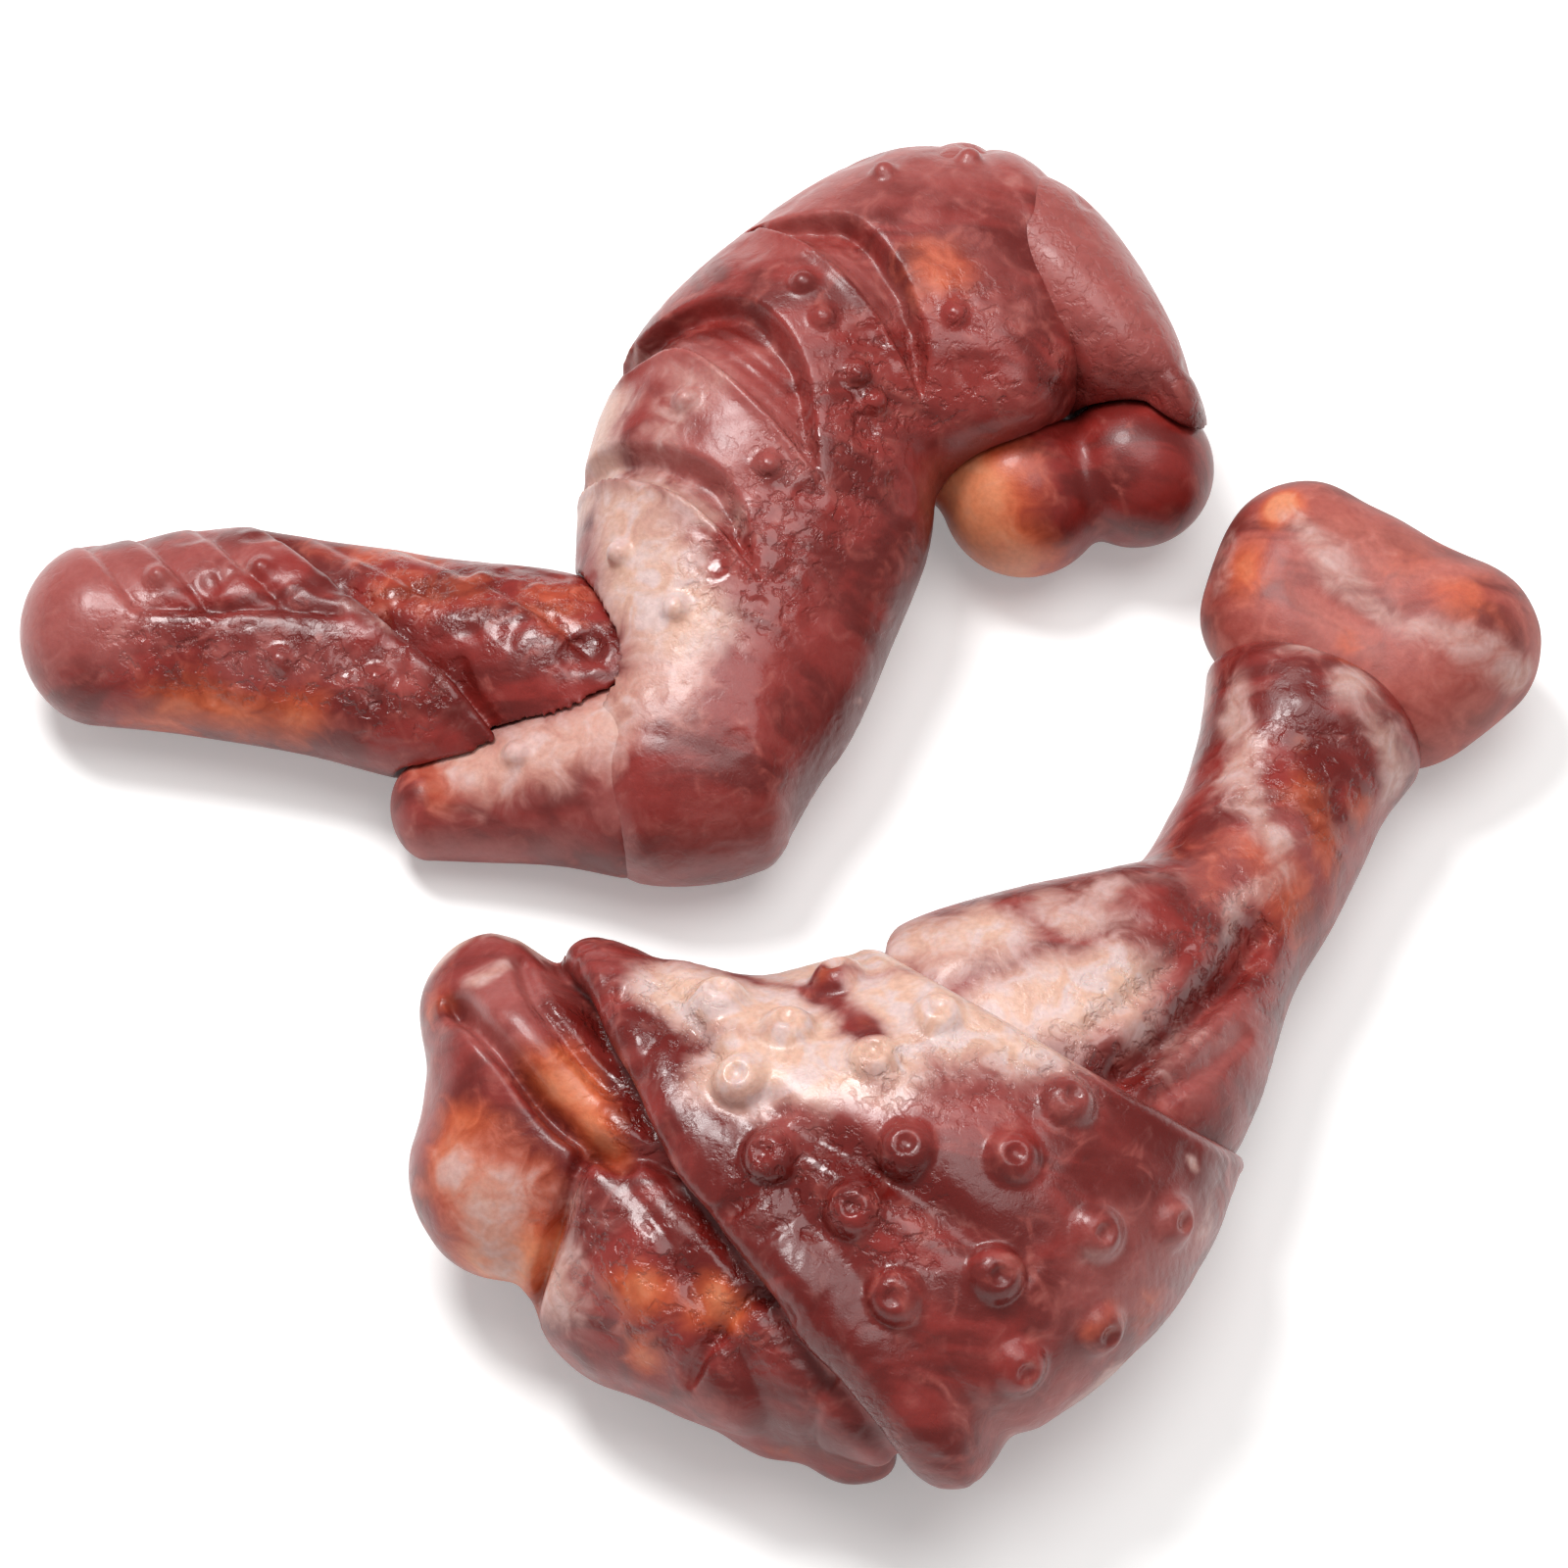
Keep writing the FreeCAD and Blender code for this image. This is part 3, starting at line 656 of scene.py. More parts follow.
def carve_crescent(grid, body, rough, crisp, wall, top):
    """One pocket, shallow at its crisp edge and deep at its wall, with faint ribs."""
    inner, _ = gap_to_path(grid, crisp)
    outer, _ = gap_to_path(grid, wall)
    past_crisp = -inner
    share = np.clip(past_crisp / (np.abs(past_crisp) + np.abs(outer) + 0.01), 0, 1)
    before_wall = smooth_step(outer / 2.2)
    pocket = smooth_step(past_crisp / 0.7) * before_wall
    ribs = 0.14 * np.sin(outer * 0.3 + 3.2 * (grid.x * 0.7 + grid.y * 0.7))
    body = body + (1.0 + 3.2 * share + ribs) * pocket * top
    body = body - 0.5 * ridge(past_crisp, 0, 1.0) * before_wall * top
    return body, rough * (1 - pocket * top)


def build_wing():
    """The wing's body, with carved crescents and a lip of skin over the balls."""
    grid = Grid(*WING_BOX)
    limb = Limb(grid, WING, WING_CAP)
    top = smooth_step((grid.z - limb.centre + 2) / 6)
    body = unite(limb.field(), ball(grid, *WING_SHOULDER), 7)
    first, second = WING_LIP
    lip = unite(rod(grid, *first), rod(grid, *second), 2)
    body = unite(body, lip, 2.5)
    knob = Limb(grid, KNOB, KNOB_CAP).field()
    body = unite(body, knob + KNOB_SINK * smooth_step((-28 - grid.x) / 7), 6)
    body = body - lumps(grid, WING_LUMPS)
    rough = np.minimum(rough_ground(grid, WING_ROUGH_BASE, WING_ROUGH), WING_ROUGH_MOST)
    for crisp, wall in CRESCENTS:
        body, rough = carve_crescent(grid, body, rough, crisp, wall, top)
    body = body + rough * pits(grid, WING_PITS)
    body = add_bumps(grid, body, WING_BUMPS, 1.7, 0.2, 0.9)
    body = cut_sockets(grid, body, BODY_SOCKET_GAP, 1.0)
    tip = unite(Limb(grid, TIP, TIP_CAP).field(), ball(grid, *ELBOW), 2)
    body = np.maximum(body, ELBOW_GAP - tip)
    body = carve_squeaker(grid, body, "wing_squeaker_barrel")
    return grid, above_floor(grid, body)


def fold_tip(grid, arm, top):
    """Folds that step down on their right side."""
    for points, depth, reach in TIP_FOLDS:
        gap, share = gap_to_path(grid, points)
        fade = smooth_step(5 * share + 0.4) * smooth_step(5 * (1 - share))
        step = np.exp(-np.maximum(gap, 0) / reach + np.minimum(gap, 0) / 0.5)
        arm = arm + depth * step * fade * top
    return arm


def build_tip():
    """The outer part of the wing, with folds across it and a ball at the elbow."""
    grid = Grid(*TIP_BOX)
    limb = Limb(grid, TIP, TIP_CAP)
    top = smooth_step((grid.z - limb.centre) / 5)
    rough = smooth_step((grid.x + 92) / 10) * smooth_step((grid.z - 14) / 5)
    arm = limb.field() - lumps(grid, TIP_LUMPS) + rough * pits(grid, TIP_PITS)
    arm = unite(arm, np.maximum(ball(grid, *ELBOW), 0.2 - grid.z), 2)
    arm = fold_tip(grid, arm, top)
    arm = add_bumps(grid, arm, TIP_BUMPS, 1.6, 0.3, 1.2)
    knob = Limb(grid, KNOB, KNOB_CAP).field()
    return grid, above_floor(grid, np.maximum(arm, ELBOW_GAP - knob))


def build_knob():
    """The pointed thumb, which sinks into the body at its thick end."""
    grid = Grid(*KNOB_BOX)
    knob = Limb(grid, KNOB, KNOB_CAP).field() - lumps(grid, KNOB_LUMPS)
    knob = knob + KNOB_SINK * smooth_step((grid.x + 31) / 7)
    knob = add_bumps(grid, knob, KNOB_BUMPS, 1.8, 0.3, 1.0)
    return grid, above_floor(grid, knob)


def build_flap():
    """The fold of skin over the shoulder, hollowed where the balls sit."""
    grid = Grid(*FLAP_BOX)
    flap = Limb(grid, FLAP, FLAP_CAP).field() - lumps(grid, FLAP_LUMPS) + pits(grid, FLAP_PITS)
    return grid, above_floor(grid, cut_sockets(grid, flap, FLAP_SOCKET_GAP, 0.8))


def build_balls():
    """Two joined balls with a neck that runs into the wing."""
    grid = Grid(*BALLS_BOX)
    balls = unite(ball(grid, *BALL), ball(grid, *SMALL_BALL), 2.0)
    neck = rod(grid, (BALL[0], BALL[1], 13), (4, 116, 14), 6, 6)
    return grid, unite(balls, neck, 2)


# ------------------------------------------------------------------ materials

DEEP = (0.130, 0.007, 0.005, 1)
RED = (0.25, 0.015, 0.011, 1)
BRIGHT = (0.38, 0.032, 0.015, 1)
MAUVE = (0.37, 0.092, 0.082, 1)
PINK = (0.54, 0.160, 0.125, 1)
AMBER = (0.62, 0.110, 0.035, 1)
PEACH = (0.76, 0.300, 0.150, 1)
CREAM = (0.76, 0.480, 0.360, 1)
LILAC = (0.52, 0.270, 0.240, 1)
MILK = (0.70, 0.520, 0.490, 1)
WET_ROUGHNESS = 0.17


class Nodes:
    """Short calls for building the node tree of one material."""

    def __init__(self, name):
        self.material = bpy.data.materials.new(name)
        self.material.use_nodes = True
        self.tree = self.material.node_tree
        self.shader = self.tree.nodes["Principled BSDF"]

    def feed(self, socket, value):
        if isinstance(value, bpy.types.NodeSocket):
            self.tree.links.new(value, socket)
        else:
            socket.default_value = value

    def add(self, kind, inputs, **settings):
        node = self.tree.nodes.new(kind)
        for name, value in settings.items():
            setattr(node, name, value)
        for key, value in inputs.items():
            self.feed(node.inputs[key], value)
        return node

    def attribute(self, name, output="Fac"):
        return self.add("ShaderNodeAttribute", {}, attribute_name=name).outputs[output]

    def noise(self, place, scale, detail, distortion=0.0):
        node = self.add("ShaderNodeTexNoise", {"Vector": place, "Scale": scale, "Detail": detail,
                                               "Distortion": distortion})
        return node.outputs["Fac"]

    def math(self, operation, first, second):
        node = self.add("ShaderNodeMath", {0: first, 1: second}, operation=operation)
        return node.outputs[0]

    def step(self, value, low, high, start=0.0, end=1.0):
        """Start below low, end above high, and a smooth change between."""
        node = self.add("ShaderNodeMapRange", {0: value, 1: low, 2: high, 3: start, 4: end},
                        interpolation_type="SMOOTHSTEP")
        return node.outputs[0]

    def mix(self, share, first, second):
        node = self.add("ShaderNodeMix", {0: share, 6: first, 7: second}, data_type="RGBA")
        return node.outputs[2]

    def stretch(self, place, factors, turn):
        node = self.add("ShaderNodeMapping", {0: place, 2: (0, 0, math.radians(turn)), 3: factors})
        return node.outputs[0]


def patch(nodes, name, grain, low, high, strength=0.5):
    """A painted patch whose edge wanders with the grain."""
    painted = nodes.attribute(name)
    wander = nodes.math("MULTIPLY", nodes.math("SUBTRACT", grain, 0.5), strength)
    return nodes.step(nodes.math("ADD", painted, wander), low, high)


def marbled_color(nodes, rest, mottle, haze, haze_color, streak_turn):
    """Oxblood red under haze, with dark, amber and cream patches laid over it in turn. Some dark patches
    are painted shade in creases, folds and against walls, and one haze patch is a painted highlight.
    """
    streaks = nodes.stretch(rest, (0.6, 1.7, 1.0), streak_turn)
    clouds = nodes.noise(streaks, 0.045, 4, 2.5)
    grain = nodes.noise(rest, 1.3, 4)
    color = nodes.mix(nodes.step(clouds, 0.40, 0.62), DEEP, RED)
    color = nodes.mix(nodes.step(mottle, 0.52, 0.75, 0.0, 0.55), color, BRIGHT)
    haze_cover = nodes.math("MULTIPLY", nodes.step(clouds, 0.30, 0.70, 0.25, 1.0),
                            nodes.step(mottle, 0.25, 0.75, 0.5, 1.0))
    color = nodes.mix(nodes.math("MULTIPLY", haze_cover, haze), color, haze_color)
    # The haze layer is mauve clouding of the rubber, and in one place on the shank a painted highlight
    # strip.
    color = nodes.mix(nodes.math("MULTIPLY", patch(nodes, "haze", mottle, 0.1, 0.95), 0.85),
                      color, haze_color)
    # The dark layer is the rubber's deep red, and also painted shade along creases, folds and crescent
    # walls.
    color = nodes.mix(nodes.math("MULTIPLY", patch(nodes, "dark", mottle, 0.1, 0.95), 0.9),
                      color, DEEP)
    color = nodes.mix(patch(nodes, "amber", mottle, 0.10, 1.0, 0.8), color, AMBER)
    color = nodes.mix(nodes.math("MULTIPLY", patch(nodes, "amber", mottle, 0.60, 1.15), 0.85),
                      color, PEACH)
    pale = nodes.mix(nodes.step(mottle, 0.40, 0.65), CREAM, MILK)
    lilac_edge = patch(nodes, "cream", mottle, 0.0, 0.6, 0.8)
    color = nodes.mix(nodes.math("MULTIPLY", lilac_edge, 0.75), color, LILAC)
    color = nodes.mix(patch(nodes, "cream", mottle, 0.15, 1.15, 1.0), color, pale)
    return nodes.mix(nodes.step(grain, 0.30, 0.75, 0.0, 0.16), color, DEEP)


def pored_surface(nodes, rest, wet, pore_depth, pore_scale):
    """Pores that deepen where the rubber is wet, over a fine grain."""
    pores = nodes.noise(rest, 0.55 * pore_scale, 4, 0.3)
    fine = nodes.noise(rest, 3.6, 2)
    depth = nodes.math("ADD", nodes.math("MULTIPLY", wet, 0.6), pore_depth)
    pitted = nodes.math("MULTIPLY", nodes.step(pores, 0.52, 0.36), depth)
    height = nodes.math("ADD", pitted, nodes.math("MULTIPLY", fine, 0.06))
    bump = nodes.add("ShaderNodeBump", {"Strength": 0.6, "Distance": 0.0008, "Height": height})
    return bump.outputs[0]


def rubber(name, roughness, haze, pore_depth, pore_scale=1.0, streak_turn=30,
           haze_color=MAUVE, coat=0.15):
    """Marbled translucent rubber: oxblood red with mauve, amber and cream clouds."""
    nodes = Nodes(name)
    rest = nodes.attribute("rest_mm", "Vector")
    wet = nodes.attribute("wet")
    mottle = nodes.noise(rest, 0.22, 5, 1.2)
    color = marbled_color(nodes, rest, mottle, haze, haze_color, streak_turn)
    nodes.feed(nodes.shader.inputs["Base Color"], color)
    dull = nodes.step(mottle, 0.35, 0.70, roughness - 0.08, roughness + 0.06)
    shine = nodes.math("MULTIPLY", wet, roughness - WET_ROUGHNESS)
    nodes.feed(nodes.shader.inputs["Roughness"], nodes.math("SUBTRACT", dull, shine))
    nodes.feed(nodes.shader.inputs["Normal"],
               pored_surface(nodes, rest, wet, pore_depth, pore_scale))
    settings = {"Subsurface Weight": 0.18, "Subsurface Scale": 0.003,
                "Subsurface Radius": (1.0, 0.30, 0.18), "IOR": 1.43,
                "Coat Weight": coat, "Coat Roughness": 0.14}
    for socket, value in settings.items():
        nodes.shader.inputs[socket].default_value = value
    return nodes.material


def plastic(name, color, roughness, mark_scale):
    """Moulded plastic or film with faint flow marks."""
    nodes = Nodes(name)
    place = nodes.add("ShaderNodeTexCoord", {}).outputs["Object"]
    marks = nodes.noise(place, mark_scale, 4, 1.0)
    shade = tuple(0.82 * value for value in color[:3]) + (1,)
    nodes.feed(nodes.shader.inputs["Base Color"],
               nodes.mix(nodes.step(marks, 0.35, 0.65), color, shade))
    nodes.feed(nodes.shader.inputs["Roughness"],
               nodes.step(marks, 0.3, 0.7, roughness - 0.05, roughness + 0.1))
    bump = nodes.add("ShaderNodeBump", {"Strength": 0.15, "Distance": 0.0001, "Height": marks})
    nodes.feed(nodes.shader.inputs["Normal"], bump.outputs[0])
    return nodes.material


# ------------------------------------------------------------------ patches of colour
# Each patch runs from one point to another, with a reach in millimetres and a
# strength.  A negative strength clears its layer there.


def spot(x, y, z, reach, strength):
    return (x, y, z), (x, y, z), reach, strength


NONE = []

KNEE_PATCHES = {
    "amber": [((-46, 0, 24), (-44, -6, 20), 12, 1.15), spot(-47, 6, 26, 9, 0.9),
              ((-39, 12, 33), (-32, 3, 33), 6.5, 0.85), spot(-28.5, -18, 31, 6.5, 0.8),
              spot(-20, -21, 32, 6.5, 0.95), spot(-28.5, -24.5, 25, 5.5, 0.8),
              spot(-52, 24, 26, 5, 0.5), spot(-8, -31, 12, 5, 0.4), spot(-38, -12, 12, 7, 0.7)],
    "cream": [((-52, 31, 24), (-40, 34, 28), 5, 0.85), spot(-46, -2, 25, 9, 0.6),
              ((-51, 24, 32), (-43, 29, 34), 2.4, 0.5), ((-43, 29, 34), (-36, 24, 35), 2.4, 0.5),
              spot(-37, -13, 23, 8, 0.55), ((-37, -6, 28), (-30, -8, 30), 4, 0.4),
              spot(-45, -8, 19, 4.5, 0.5), ((-53, 28, 22), (-56, 18, 18), 4, 0.5),
              ((-37, 26, 33), (-31, 22, 35), 2.5, 0.35)],
    "haze": [spot(-44, 21, 33, 12, 0.9), spot(-53, 12, 22, 9, 0.8), spot(-35, -13, 22, 7, 0.9),
             ((-36, -5, 28), (-30, -7, 30), 6, 0.6), ((-38, -18, 12), (-16, -34, 8), 7, 0.6)],
    # The first dark line follows the crease between the bulbs: painted shade in the crease.
    "dark": [((-34, 1, 31), (-22, -6, 34), 4, 0.8), ((-20, -12, 33), (-6, -34, 16), 8, 1.0),
             ((-37, 22, 34), (-28, 4, 36), 4, 0.7)],
    "wet": [((-34, -12, 31), (-16, -20, 32), 12, 1.0), ((-36, 20, 34), (-25, 2, 36), 6, 0.7)],
}
SKIN_PATCHES = {
    "cream": [((-22, 21, 40), (-8, 12, 44), 10, 1.1), ((-36, 28, 33), (-27, 7, 41), 5.0, -0.9),
              ((-15, 6, 44), (2, 5, 47), 9, 1.1),
              ((4, 14, 45), (20, 11, 44), 11, 1.25), ((-6, 26, 36), (12, 24, 38), 9, 1.1),
              ((-6, 22, 42), (-1, 10, 46), 4.2, -1.0), spot(2, 3, 47, 4, -0.5),
              spot(24, 7, 44, 7, 0.55), ((12, -31, 20), (30, -24, 20), 4, 0.5),
              ((36, -14, 28), (42, -6, 26), 3.5, 0.4), spot(27, -16, 38, 3, 0.3),
              ((24, 14, 41), (43, -4, 32), 1.6, 0.5)],
    "amber": [spot(33, -19.5, 28, 6, 0.45), spot(38, -9.5, 32, 4, 0.4), spot(1, 0, 46.5, 2, 0.8),
              ((-6, 20, 43), (-2, 12, 46), 3.5, 0.4), spot(-9.6, 12, 45, 3.6, 0.55),
              spot(1, 6.3, 48, 3.6, 0.6), spot(-3.4, 21.4, 41, 3.6, 0.5),
              spot(28.5, -23, 32, 4, 0.5), spot(8, -37, 14, 6, 0.4)],
    "haze": [((28, -18, 34), (40, -8, 30), 12, 0.8), ((8, -32, 26), (24, -30, 26), 9, 0.7),
             ((-12, -4, 44), (8, 0, 47), 6, 0.6), ((10, 2, 47), (26, 2, 44), 8, 0.6)],
    "dark": [((-26, 14, 40), (-8, -18, 42), 7, 1.1), ((-6, -22, 40), (4, -36, 24), 8, 1.0),
             ((-6, -6, 44), (14, -14, 45), 6, 0.8), ((34, 2, 38), (44, -4, 30), 7, 0.8)],
    "wet": [((-26, 18, 40), (2, -34, 26), 8, 1.0), ((-10, -8, 44), (4, -16, 45), 9, 1.0),
            ((4, 2, 47), (28, 6, 44), 8, 0.8)],
}
SHANK_PATCHES = {
    "cream": [((6, 28, 32), (16, 30, 34), 8, 0.95), ((24, 33, 33), (36, 36, 30), 6, 0.75),
              ((18, 19, 40), (31, 23, 36), 9.5, 1.0), ((47, 70, 25), (47.5, 58, 26), 5.5, 0.55),
              ((48, 56, 27), (52, 48, 27), 4.5, 0.55), ((63, 70, 25), (70, 60, 18), 5.5, 0.55),
              spot(55, 76, 25, 5, 0.45), spot(45, 76, 16, 5, 0.5), ((19, 29, 34), (22, 32, 33), 3, -0.5),
              ((36, 12, 32), (44, 24, 30), 3, 0.35), ((46, 34, 28), (52, 44, 27), 3.5, 0.4)],
    "amber": [((50, 44, 27), (58, 38, 24), 7, 0.55), ((56, 54, 26), (62, 44, 20), 6, 0.5),
              spot(64, 56, 21, 5, 0.5), ((40, 44, 26), (46, 54, 18), 6, 0.3),
              spot(62, 76, 24, 3, 0.6), spot(55, 61, 27, 2.5, 0.4), ((40, 36, 28), (46, 46, 26), 6, 0.35)],
    "haze": [((44, 40, 28), (56, 48, 26), 9, 0.8), ((40, 12, 30), (50, 22, 26), 7, 0.8),
             spot(56, 66, 27, 6, 0.4), ((30, 16, 36), (38, 24, 32), 5, 0.7),
             # The next pale line along the ridge beside the deep valley is a painted highlight.
             ((38, 12, 33), (47, 24, 30), 3, 0.9),
             ((60, 40, 20), (66, 56, 18), 6, 0.6)],
    # The first dark line lies along the deep valley: painted shade in the valley. The second is the meat's
    # own dark lumps.
    "dark": [((33, 11, 33), (48, 33, 28), 3.5, 1.0), ((56, 68, 27), (59, 53, 26), 5.5, 1.2),
             ((40, 4, 26), (50, 18, 20), 5, 0.5), ((46, 66, 12), (44, 52, 12), 5, 0.6)],
    "wet": [((28, 12, 36), (48, 34, 28), 10, 1.0), spot(56, 58, 26, 12, 0.7)],
}
KNUCKLE_PATCHES = {
    "cream": [((52, 100, 22), (57, 92.7, 26), 3.6, 0.42), ((57, 92.7, 26), (63.5, 86, 24), 3.8, 0.42),
              ((63.5, 86, 24), (71, 80, 24), 3.8, 0.42), ((71, 80, 24), (84, 78, 19), 4.5, 0.5),
              ((45.5, 97, 19), (47, 90, 20), 3.5, 0.35), spot(46, 84, 13, 3, 0.4)],
    "amber": [spot(53.75, 98, 27, 5.5, 1.2), spot(77.5, 84, 25, 6.5, 0.6),
              spot(49, 90, 24, 7, 0.75), spot(71, 73, 17, 5, 0.5), spot(61, 78.5, 23, 3, 0.5),
              spot(70, 90, 24, 5, 0.4)],
    "haze": [((60, 94, 23), (76, 88, 24), 8, 0.7), ((58, 83, 24), (66, 76, 22), 5, 0.6),
             ((46, 82, 16), (56, 80, 20), 5, 0.5), spot(78, 75, 14, 7, 0.6)],
    "dark": [((46, 78, 14), (66, 67, 14), 3.5, 0.6), spot(56, 80, 24, 4, 0.4)],
    "wet": NONE,
}
WING_PATCHES = {
    "cream": [((-29, 94, 27), (-24, 78, 29), 10, 0.9), ((-33, 112, 24), (-34, 103, 22), 9, 0.8),
              ((-24, 71, 25), (-33, 68, 26), 9, 0.55),
              ((-26, 105, 33), (-20, 112, 35), 6, 0.35), ((-30, 98, 28), (-18, 92, 34), 4, 0.6),
              ((-20, 56, 18), (0, 74, 18), 1.2, 0.4), ((-30, 121, 24), (-22, 112, 33), 5, 0.35)],
    "amber": [spot(9.4, 128, 37, 8, 0.62), spot(-34, 79, 19, 6.5, 0.6),
              ((-24, 71, 25), (-36, 67, 24), 9, 0.6),
              spot(-31, 90, 26, 2.5, 0.7), ((0, 62, 8), (16, 96, 8), 5, 0.35)],
    "haze": [((-24, 116, 34), (-10, 102, 34), 8, 1.0), ((-12, 132, 34), (4, 124, 34), 6, 0.8),
             ((-26, 104, 33), (-16, 98, 34), 7, 1.0), ((-8, 140, 32), (20, 146, 30), 12, 0.8),
             ((-20, 120, 34), (-6, 112, 37), 4, 0.5), ((-8, 100, 35), (-16, 78, 32), 6, 0.4),
             ((10, 134, 38), (20, 124, 37), 9, 0.5), ((-26, 56, 12), (-8, 58, 16), 11, 0.9)],
    "dark": [((-8, 62, 14), (2, 74, 16), 9, 0.9), ((2, 74, 16), (14, 104, 18), 9, 1.0),
             # The second dark line runs inside the first crescent against its wall: painted shade there.
             ((8, 108, 30), (24, 114, 30), 2.5, 0.6), ((-6, 134, 36), (8, 118, 36), 1.6, 0.7)],
    "wet": [((4, 114, 36), (-14, 84, 31), 11, 1.0), ((8, 110, 30), (25, 116, 30), 4, 1.0),
            spot(16, 122, 37, 9, 0.5)],
}
TIP_PATCHES = {
    "cream": [((-66, 86, 24), (-58, 80, 24), 2, 0.3), spot(-80, 92, 22, 3, 0.3)],
    "amber": [((-60, 90, 22), (-50, 88, 23), 7, 0.42), ((-90, 76, 14), (-72, 74, 15), 8, 0.75),
              spot(-39, 86, 22, 8, 0.5), ((-70, 98, 18), (-56, 96, 17), 5, 0.5)],
    "haze": [((-104, 88, 12), (-98, 88, 20), 13, 1.2), ((-92, 94, 20), (-80, 94, 21), 7, 0.7),
             ((-82, 79, 22), (-58, 76, 22), 5, 0.6)],
    # The first three dark lines follow the tip's folds: painted shade in the folds. The last is a darker
    # band low on the front.
    "dark": [((-79, 101, 15), (-64, 87, 23), 4, 1.1), ((-64, 87, 23), (-46, 68, 20), 4.5, 1.2),
             ((-92, 85, 20), (-66, 84, 22), 2.5, 0.9), ((-80, 72, 10), (-56, 68, 10), 6, 0.6)],
    "wet": [((-92, 82, 20), (-56, 74, 21), 7, 1.0), ((-60, 92, 22), (-36, 82, 22), 9, 0.7)],
}
KNOB_PATCHES = {
    "cream": [((-24, 71, 25), (-33, 68, 26), 10, 0.62), ((-34, 67, 24), (-50, 65, 17), 8.5, 0.6),
              spot(-28.5, 61.5, 23, 3, -0.8)],
    "amber": [((-24, 71, 25), (-36, 67, 24), 9, 0.7), ((-38, 66, 22), (-54, 63.5, 16), 7, 0.75)],
    "haze": [((-24, 62, 22), (-30, 60, 20), 8, 0.9), ((-34, 57, 12), (-56, 58, 8), 5, 0.9),
             spot(-58, 63, 9, 6, 0.9)],
    "dark": [((-26, 56, 8), (-56, 57, 3), 4, 0.6)],
    "wet": NONE,
}
FLAP_PATCHES = {
    "cream": NONE,
    "amber": NONE,
    "haze": [((14, 145, 34), (38, 128, 30), 17, 1.15)],
    # The second dark line follows the crease between the flap and the body: painted shade in the crease.
    "dark": [((24, 122, 26), (42, 115, 20), 4.5, 1.0), ((18, 138, 37), (24, 124, 34), 1.6, 0.6)],
    "wet": [((24, 124, 28), (43, 116, 22), 3, 0.6)],
}
BALL_PATCHES = {
    "cream": NONE,
    "amber": [((14, 103, 19), (17, 99, 12), 13, 1.15), spot(30.6, 112, 24, 1.8, 0.8),
              spot(24, 100, 10, 7, 0.4)],
    "haze": [spot(42, 114, 16, 7, 0.5), spot(28, 115, 23, 4, 0.5)],
    "dark": [spot(28, 109, 21, 5, 0.3)],
    "wet": [spot(26, 113, 24, 5, 0.7)],
}


def paint_patches(piece, points, patches):
    """Each layer of patches becomes a value on the mesh's points."""
    for name, places in patches.items():
        added = np.zeros(len(points))
        cleared = np.zeros(len(points))
        wander = 0.9 * np.sin(points[:, [1, 2, 0]] / 2.6) + 0.6 * np.sin(points[:, [2, 0, 1]] / 1.3)
        for start, end, reach, strength in places:
            start = np.array(start, float)
            run = np.array(end, float) - start
            length = max(run @ run, 1e-6)
            share = np.clip((points - start) @ run / length, 0, 1)
            gap = np.linalg.norm(points - start - share[:, None] * run + wander, axis=1)
            value = abs(strength) * smooth_step(1.15 - 1.0 * gap / reach)
            if strength > 0:
                added = np.maximum(added, value)
            else:
                cleared = np.maximum(cleared, value)
        paint(piece, name, added - cleared)


# ------------------------------------------------------------------ assembly


def add_piece(name, grid, field, patches, material, slot, node):
    piece, points = mesh_field(name, grid, field)
    paint_patches(piece, points, patches)
    piece.data.materials.append(material)
    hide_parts(node)
    return piece


def add_drumstick():
    grid, skin, knee, shank = build_drumstick()
    piece = add_piece("thigh_skin", grid, skin, SKIN_PATCHES,
                      rubber("nubbed_skin", 0.36, 0.35, 0.06, 1.0, 60), "skin_rubber", "drumstick_skin")
    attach(piece, "drumstick_thigh")
    piece = add_piece("knee_meat", grid, knee, KNEE_PATCHES,
                      rubber("knee_meat_rubber", 0.40, 0.35, 0.05, 0.8, 20), "knee_rubber",
                      "drumstick_knee_plug")
    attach(piece, "drumstick_thigh")
    piece = add_piece("shank_meat", grid, shank, SHANK_PATCHES,
                      rubber("shank_meat_rubber", 0.38, 0.35, 0.08, 0.9, -30), "shank_rubber",
                      "drumstick_shank")
    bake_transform(piece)
    piece = add_piece("knuckle_bone", *build_knuckle(), KNUCKLE_PATCHES,
                      rubber("knuckle_bone_rubber", 0.54, 0.75, 0.03, 1.0, -20, PINK, 0.03),
                      "knuckle_rubber", "drumstick_knuckle")
    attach(piece, "drumstick_leg")


def add_wing():
    piece = add_piece("wing_meat", *build_wing(), WING_PATCHES,
                      rubber("wing_meat_rubber", 0.40, 0.42, 0.06, 1.0, 50), "wing_rubber", "wing_skin")
    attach(piece, "wing_body")
    piece = add_piece("wing_tip_arm", *build_tip(), TIP_PATCHES,
                      rubber("wing_tip_meat_rubber", 0.40, 0.22, 0.06, 1.0, 0),
                      "wing_tip_rubber", "wing_tip")
    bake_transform(piece)
    piece = add_piece("wrist_knob", *build_knob(), KNOB_PATCHES,
                      rubber("knob_bone_rubber", 0.50, 0.50, 0.03, 1.0, 0, MAUVE, 0.06),
                      "knob_rubber", "wing_wrist_knob")
    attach(piece, "wing_body")
    piece = add_piece("shoulder_flap", *build_flap(), FLAP_PATCHES,
                      rubber("flap_skin_rubber", 0.42, 0.45, 0.2, 1.3, -50), "flap_rubber",
                      "wing_shoulder_flap")
    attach(piece, "wing_body")
    piece = add_piece("cut_end_balls", *build_balls(), BALL_PATCHES,
                      rubber("ball_bone_rubber", 0.42, 0.12, 0.0, 1.0, 0), "ball_rubber", "wing_ball_plug")
    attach(piece, "wing_body")


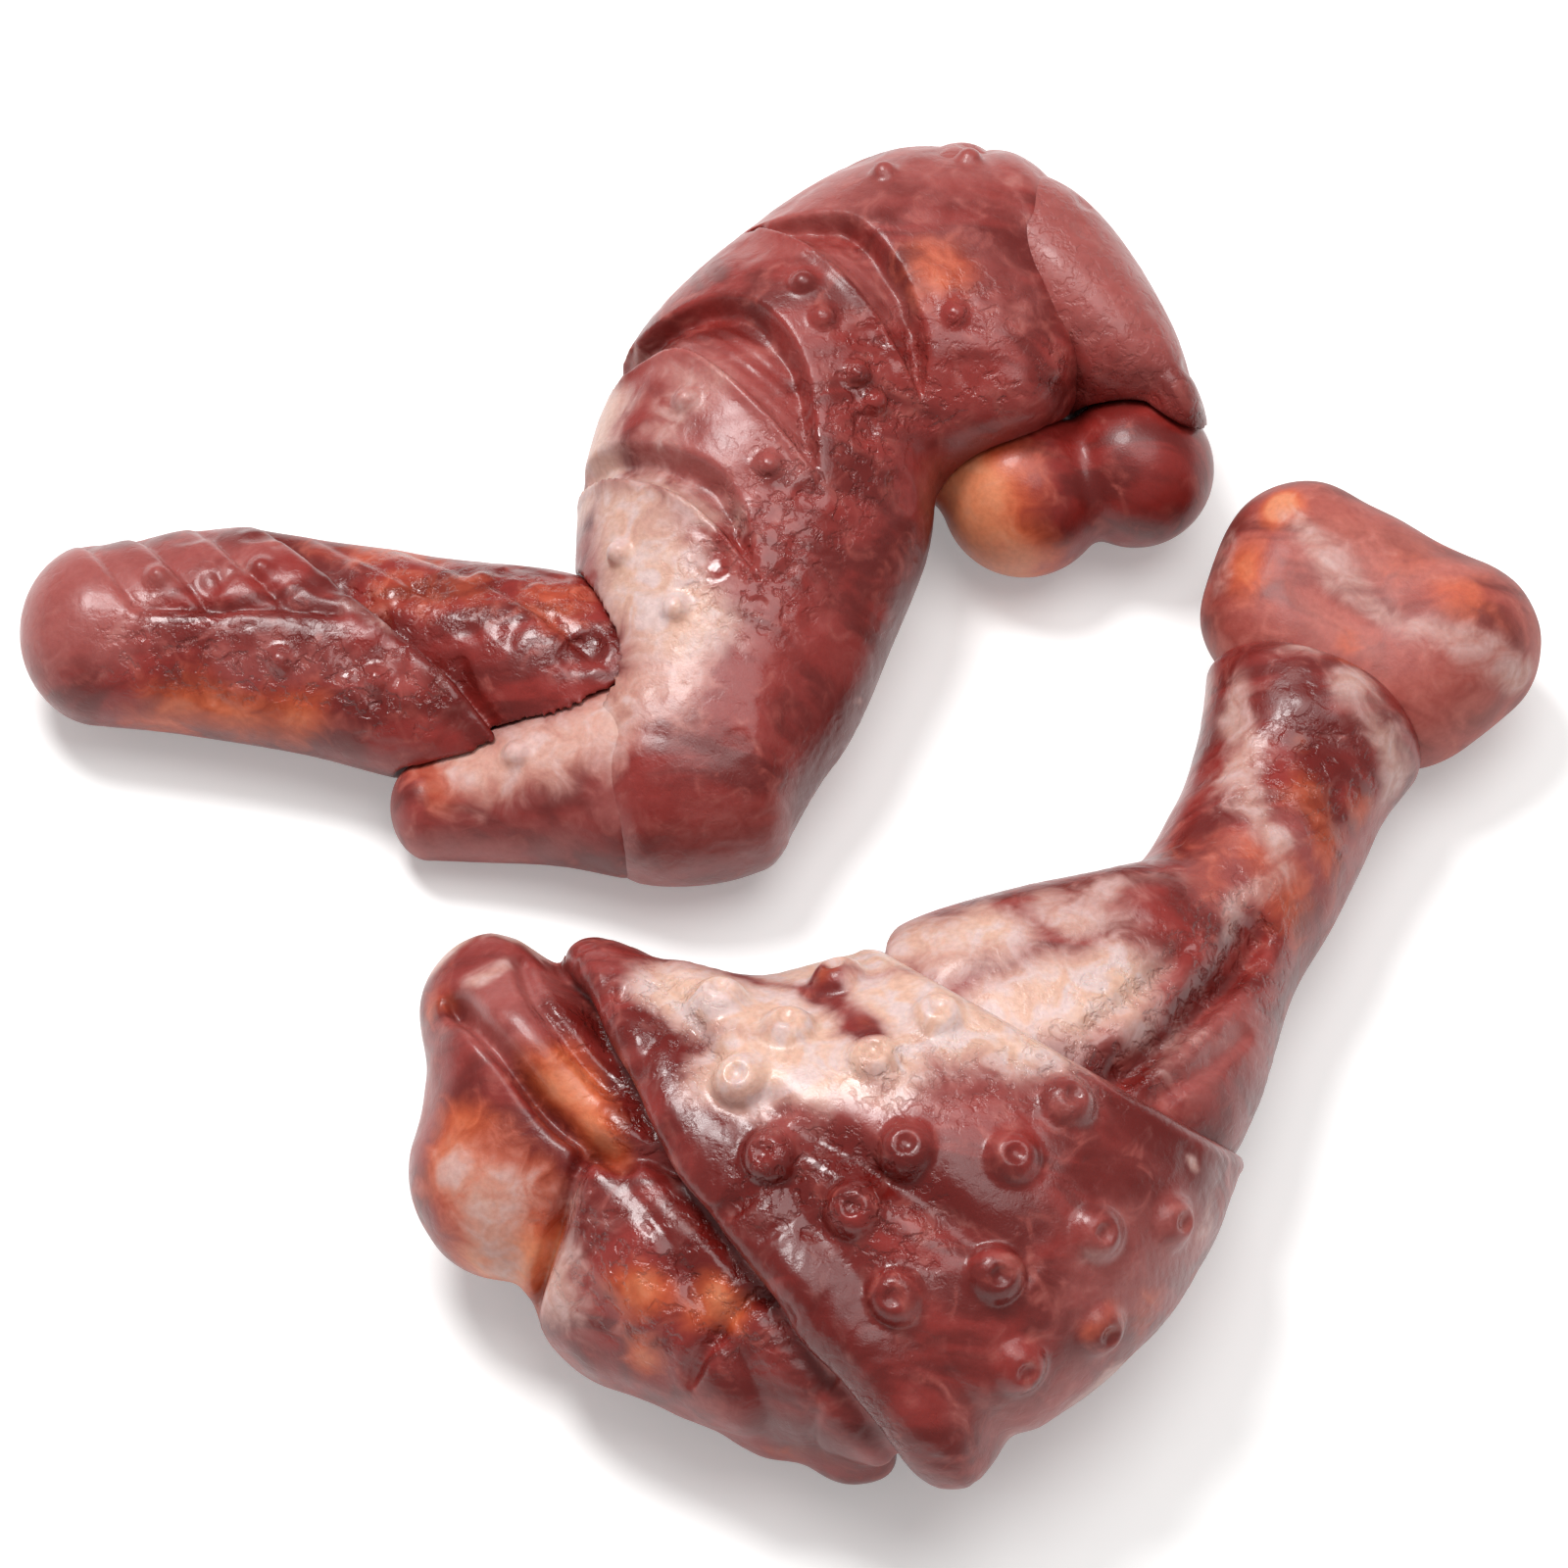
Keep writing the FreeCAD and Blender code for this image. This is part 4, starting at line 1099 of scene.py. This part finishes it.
def finish_squeakers():
    """The squeakers keep their own shapes and get their plastics."""
    body = plastic("squeaker_white_plastic", (0.78, 0.77, 0.74, 1), 0.35, 600)
    block = plastic("reed_block_plastic", (0.62, 0.64, 0.66, 1), 0.40, 900)
    film = plastic("reed_film", (0.85, 0.82, 0.70, 1), 0.25, 1500)
    for toy in ("drumstick", "wing"):
        for part, material in (("barrel", body), ("reed_block", block), ("reed", film)):
            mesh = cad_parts[f"{toy}_squeaker_{part}"].data
            mesh.materials.clear()
            mesh.materials.append(material)


# ------------------------------------------------------------------ stage

FLOOR_GLOW = 0.26


def add_floor():
    """A white floor that the camera sees as white where no shadow falls."""
    half = 1.5
    corners = [(-half, -half, 0), (half, -half, 0), (half, half, 0), (-half, half, 0)]
    mesh = bpy.data.meshes.new("floor")
    mesh.from_pydata(corners, [], [(0, 1, 2, 3)])
    floor = bpy.data.objects.new("floor", mesh)
    bpy.context.scene.collection.objects.link(floor)
    nodes = Nodes("white_floor")
    nodes.feed(nodes.shader.inputs["Base Color"], (0.92, 0.92, 0.91, 1))
    nodes.feed(nodes.shader.inputs["Roughness"], 0.7)
    seen = nodes.add("ShaderNodeLightPath", {})
    direct = nodes.math("MAXIMUM", seen.outputs["Is Camera Ray"], seen.outputs["Is Glossy Ray"])
    glow = nodes.add("ShaderNodeEmission", {"Color": (1, 1, 1, 1),
                                            "Strength": nodes.math("MULTIPLY", direct, FLOOR_GLOW)})
    both = nodes.add("ShaderNodeAddShader", {0: nodes.shader.outputs[0], 1: glow.outputs[0]})
    output = nodes.tree.nodes["Material Output"]
    nodes.feed(output.inputs["Surface"], both.outputs[0])
    mesh.materials.append(nodes.material)


def add_light(name, place, size, power):
    data = bpy.data.lights.new(name, "AREA")
    data.shape = "DISK"
    data.size = size
    data.energy = power
    light = bpy.data.objects.new(name, data)
    light.location = place
    aim = Vector(AIM) - Vector(place)
    light.rotation_euler = aim.to_track_quat("-Z", "Y").to_euler()
    bpy.context.scene.collection.objects.link(light)


def add_lights():
    add_light("window", (-0.34, 0.46, 1.05), 0.40, 9.5)
    add_light("overhead", (0.25, 0.10, 1.25), 0.9, 6.5)
    world = bpy.data.worlds.new("studio")
    world.use_nodes = True
    background = world.node_tree.nodes["Background"]
    background.inputs["Color"].default_value = (1, 1, 1, 1)
    background.inputs["Strength"].default_value = 0.36
    bpy.context.scene.world = world
    bpy.context.scene.view_settings.view_transform = "Standard"


add_drumstick()
add_wing()
finish_squeakers()
add_floor()
add_lights()
